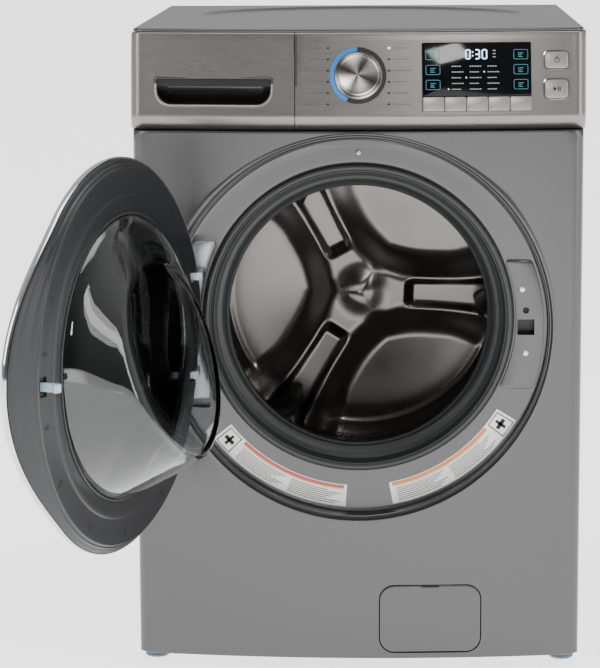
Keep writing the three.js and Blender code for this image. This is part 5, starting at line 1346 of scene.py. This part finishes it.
def rear():
    """Rear sheet with pressed ribs, louvres and the round service cover."""
    top = TOP - 25.3
    plate = prism(rounded(-HALF_WIDTH, 0, 2 * HALF_WIDTH, top, 4), REAR - 2, REAR)
    holes = [(0, COVER_Z, 150), (GLAND_ACROSS, SERVICE_Z, 13.3)]
    holes += [(x, SERVICE_Z, 12.3) for x in PORTS_ACROSS]
    for x, z, radius in holes:
        plate = carve(plate, loft([circle(radius, y, 64, x, z) for y in (REAR - 9, REAR + 9)]))
    settle(plate, "rear_sheet", "cabinet", body_paint, ["rear_panel"])
    ribs = [loft([[(px, REAR + y, pz) for px, pz in rounded(x - 14, 170, 28, 640, 14, inset=inset)]
                  for inset, y in ((0, -1), (0, 0.1), (3, 2.2), (7, 2.6))]) for x in (-250, 250)]
    settle(merged("ribs", ribs), "rear_ribs", "cabinet", body_paint)
    base, nose = (-24, -2.5, 48, 5, 2.4), (-22, 0.2, 44, 2, 0.9)
    louvre = loft([[(x, y, z) for x, z in rounded(*sides, steps=4)]
                   for sides, y in ((base, 1.0), (base, -0.05), (nose, -2.4))])
    back = Matrix.Rotation(math.pi, 4, "Z")
    places = [Matrix.Translation((x, REAR, 110 + 12 * k)) @ back for x in (-120, 120) for k in range(6)]
    settle(repeated(louvre, places, body_paint), "rear_louvres", "cabinet", body_paint)
    skin = REAR + 0.3
    profile = [(0, skin - 8), (24, skin - 8), (28, skin - 10), (118, skin - 10), (124, skin - 8),
               (134, skin - 4), (142, skin), (164, skin), (164, skin + 1.6), (163, skin + 2),
               (143, skin + 2), (135, skin - 2),
               (125, skin - 6), (119, skin - 8), (29, skin - 8), (25, skin - 6), (0, skin - 6)]
    settle(turned(profile, Matrix.Translation((0, 0, COVER_Z)), 128), "service_cover", "cabinet", body_paint,
           ["rear_access_cover"])
    spots = []
    for k in range(6):
        t = math.radians(30 + 60 * k)
        spots.append((154 * math.cos(t), REAR + 2.3, COVER_Z + 154 * math.sin(t)))
    spots += [(x, REAR, z) for x in (-325, 325) for z in (30, 250, 470, 690, 910)]
    spots = [Matrix.Translation(spot) @ back for spot in spots]
    settle(repeated(screw_head(4.5), spots, galvanised), "rear_screws", "cabinet", galvanised)
    ports = []
    for x in PORTS_ACROSS:
        port = [(0, REAR - 5), (12, REAR - 5), (12, REAR + 3)]
        y = REAR + 3
        while y < REAR + 20:
            port += [(12, y + 0.4), (11, y + 1.1), (12, y + 1.8)]
            y += 2.2
        port += [(11.4, REAR + 22), (8.4, REAR + 22), (8.4, REAR + 8), (0, REAR + 8)]
        ports.append(turned(port, Matrix.Translation((x, 0, SERVICE_Z)), 40))
    settle(merged("ports", ports), "hose_ports", "cabinet", white_plastic)
    gland = [(0, REAR - 14), (13, REAR - 14), (13, REAR + 0.3), (17, REAR + 0.3), (17, REAR + 2.6),
             (16, REAR + 4), (10.5, REAR + 5)]
    for k in range(4):
        gland += [(9.6, REAR + 6 + 2 * k), (8.6, REAR + 6.6 + 2 * k), (8.4, REAR + 7.6 + 2 * k)]
    gland += [(8, REAR + 14), (5, REAR + 14), (5, REAR + 5), (0, REAR + 5)]
    collar = turned(gland, Matrix.Translation((GLAND_ACROSS, 0, SERVICE_Z)), 48)
    settle(collar, "cord_gland", "cabinet", black_abs,
           ["mains_inlet"])


def suspension_coils():
    """Two tension springs from the cabinet's brackets to the tub, with hooked ends."""
    reach, wire, hook_share = 9, 1.6, 0.12  # bar's corner to its middle, wire radius, straight ends
    for side, name in ((-1, "left"), (1, "right")):
        node = f"suspension_spring_{name}"
        low, high = (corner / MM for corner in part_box(node))
        near, far = (low.x, high.x) if side > 0 else (high.x, low.x)
        bottom = Vector((near + side * reach, (low.y + high.y) / 2, low.z + reach))
        head = Vector((far - side * reach, (low.y + high.y) / 2, high.z - reach))
        line = head - bottom
        turn = line.to_track_quat("Z", "Y").to_matrix().to_4x4()
        start = bottom + line * hook_share
        coil = grown(HELICAL_SPRING, bpy.data.meshes.new("none"),
                     {"Radius": 6.6 * MM, "Wire": wire * MM, "Turns": 44.0, "Finish": dark_steel,
                      "Length": line.length * (1 - 2 * hook_share) * MM},
                     Matrix.Translation(start * MM) @ turn)
        turns = [2 * math.pi * i / 12 for i in range(12)]
        section = [turn.to_3x3() @ Vector((wire * math.cos(t), wire * math.sin(t), 0)) for t in turns]
        ends = [loft([[base + point for point in section] for base in pair])
                for pair in ((bottom, start), (head - line * hook_share, head))]
        settle(merged("coil", [coil] + ends), f"spring_{name}", "cabinet", dark_steel, [node], crease=60)


# ---- Studio -------------------------------------------------------------------------------


def studio():
    """Pale floor, soft lights and the camera."""
    data = bpy.data.cameras.new("camera")
    camera = bpy.data.objects.new("camera", data)
    bpy.context.scene.collection.objects.link(camera)
    data.sensor_fit = "VERTICAL"
    data.sensor_height = 36
    data.sensor_width = 36
    data.lens = 148.9
    data.clip_end = 200
    turn = (Matrix.Rotation(math.radians(2.0), 4, "Z") @ Matrix.Rotation(math.radians(80.51), 4, "X")
            @ Matrix.Rotation(math.radians(-0.28), 4, "Z"))
    camera.matrix_world = Matrix.Translation((0.057, -4.5585, 1.203)) @ turn
    bpy.context.scene.camera = camera

    # A floor wide enough that its far edge stays at the horizon from every side
    mesh = bpy.data.meshes.new("floor")
    reach, level = 60, -0.02
    mesh.from_pydata([(x, y, level) for x, y in ((-reach, -reach), (reach, -reach),
                                                 (reach, reach), (-reach, reach))], [], [(0, 1, 2, 3)])
    floor = bpy.data.objects.new("floor", mesh)
    bpy.context.scene.collection.objects.link(floor)
    # Seamless paper: pale, with the faintest mottle
    paper = finish("seamless_paper", "white_plastic", "f4f4f3", "f9f9f8", (0.8, 0.9), 300)
    glow = paper.node_tree.nodes["Principled BSDF"]
    glow.inputs["Emission Color"].default_value = colour("ffffff")
    glow.inputs["Emission Strength"].default_value = 1.9
    mesh.materials.append(paper)

    world = bpy.data.worlds.new("studio")
    bpy.context.scene.world = world
    world.use_nodes = True
    tree = world.node_tree
    sky = tree.nodes["Background"]
    where = add(tree, "ShaderNodeTexCoord")
    axes = add(tree, "ShaderNodeSeparateXYZ", {0: where.outputs["Generated"]})
    ahead = add(tree, "ShaderNodeMapRange", {"Value": axes.outputs["Y"], "From Min": -1.0, "From Max": 0.2,
                                             "To Min": 0.10, "To Max": 0.75})
    tree.links.new(ahead.outputs["Result"], sky.inputs["Strength"])
    sky.inputs["Color"].default_value = colour("f6f6f6")
    for name, place, aim, size, power in (
            ("key", (-3.0, -2.6, 2.4), (0, -0.3, 0.6), (1.2, 2.6), 55),
            ("fill", (3.4, -2.0, 1.8), (0, -0.3, 0.55), (0.9, 2.6), 45),
            ("top", (0.2, -0.4, 3.4), (0, 0.1, 0.8), (2.6, 1.6), 50),
            ("drum", (0.9, -4.6, 2.6), (0, 0, 0.5), (0.7, 0.7), 30),
            ("low", (0.3, -3.4, 0.25), (0, -0.3, 0.35), (2.6, 0.4), 8)):
        lamp = bpy.data.lights.new(name, "AREA")
        lamp.shape = "RECTANGLE"
        lamp.size, lamp.size_y = size
        lamp.energy = power
        stand = bpy.data.objects.new(name, lamp)
        bpy.context.scene.collection.objects.link(stand)
        stand.location = place
        stand.rotation_euler = (Vector(aim) - Vector(place)).to_track_quat("-Z", "Y").to_euler()


# ---- Frame nodes that keep their own shape ------------------------------------------------

CARRIED = {
    "base_pan": galvanised, "control_board": board_green, "dispenser_housing": white_plastic,
    "inlet_valve": white_plastic, "door_lock": black_abs, "drain_pump": black_abs, "sump_hose": rubber,
    "damper_left": tub_plastic, "damper_right": tub_plastic, "tub_front": tub_plastic,
    "tub_rear": tub_plastic, "counterweight_front": concrete, "counterweight_top": concrete,
    "motor": dark_steel, "bearing_front": dark_steel, "bearing_rear": dark_steel,
    "drive_belt": belt_rubber, "drum_spider": cast_aluminium, "drum_pulley": cast_aluminium,
    "motor_pulley": dark_steel, "hinge_arm": galvanised, "drawer_tray": white_plastic,
    "pump_filter": foot_plastic,
}

for node_name, made in CARRIED.items():
    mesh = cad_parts[node_name].data
    mesh.materials.clear()
    mesh.materials.append(made)

studio()
worktop()
side_panel(-1)
side_panel(1)
front_panel()
screws()
sticker("left_sticker", 218, 266, sticker_red)
sticker("right_sticker", 281, 329, sticker_orange)
fascia_and_drawer()
indicators()
knob()
display()
keys_and_buttons()
gasket()
hinge_fixings()
drum()
pressed_end()
lifters()
door()
hook()
hatch()
feet()
rear()
suspension_coils()
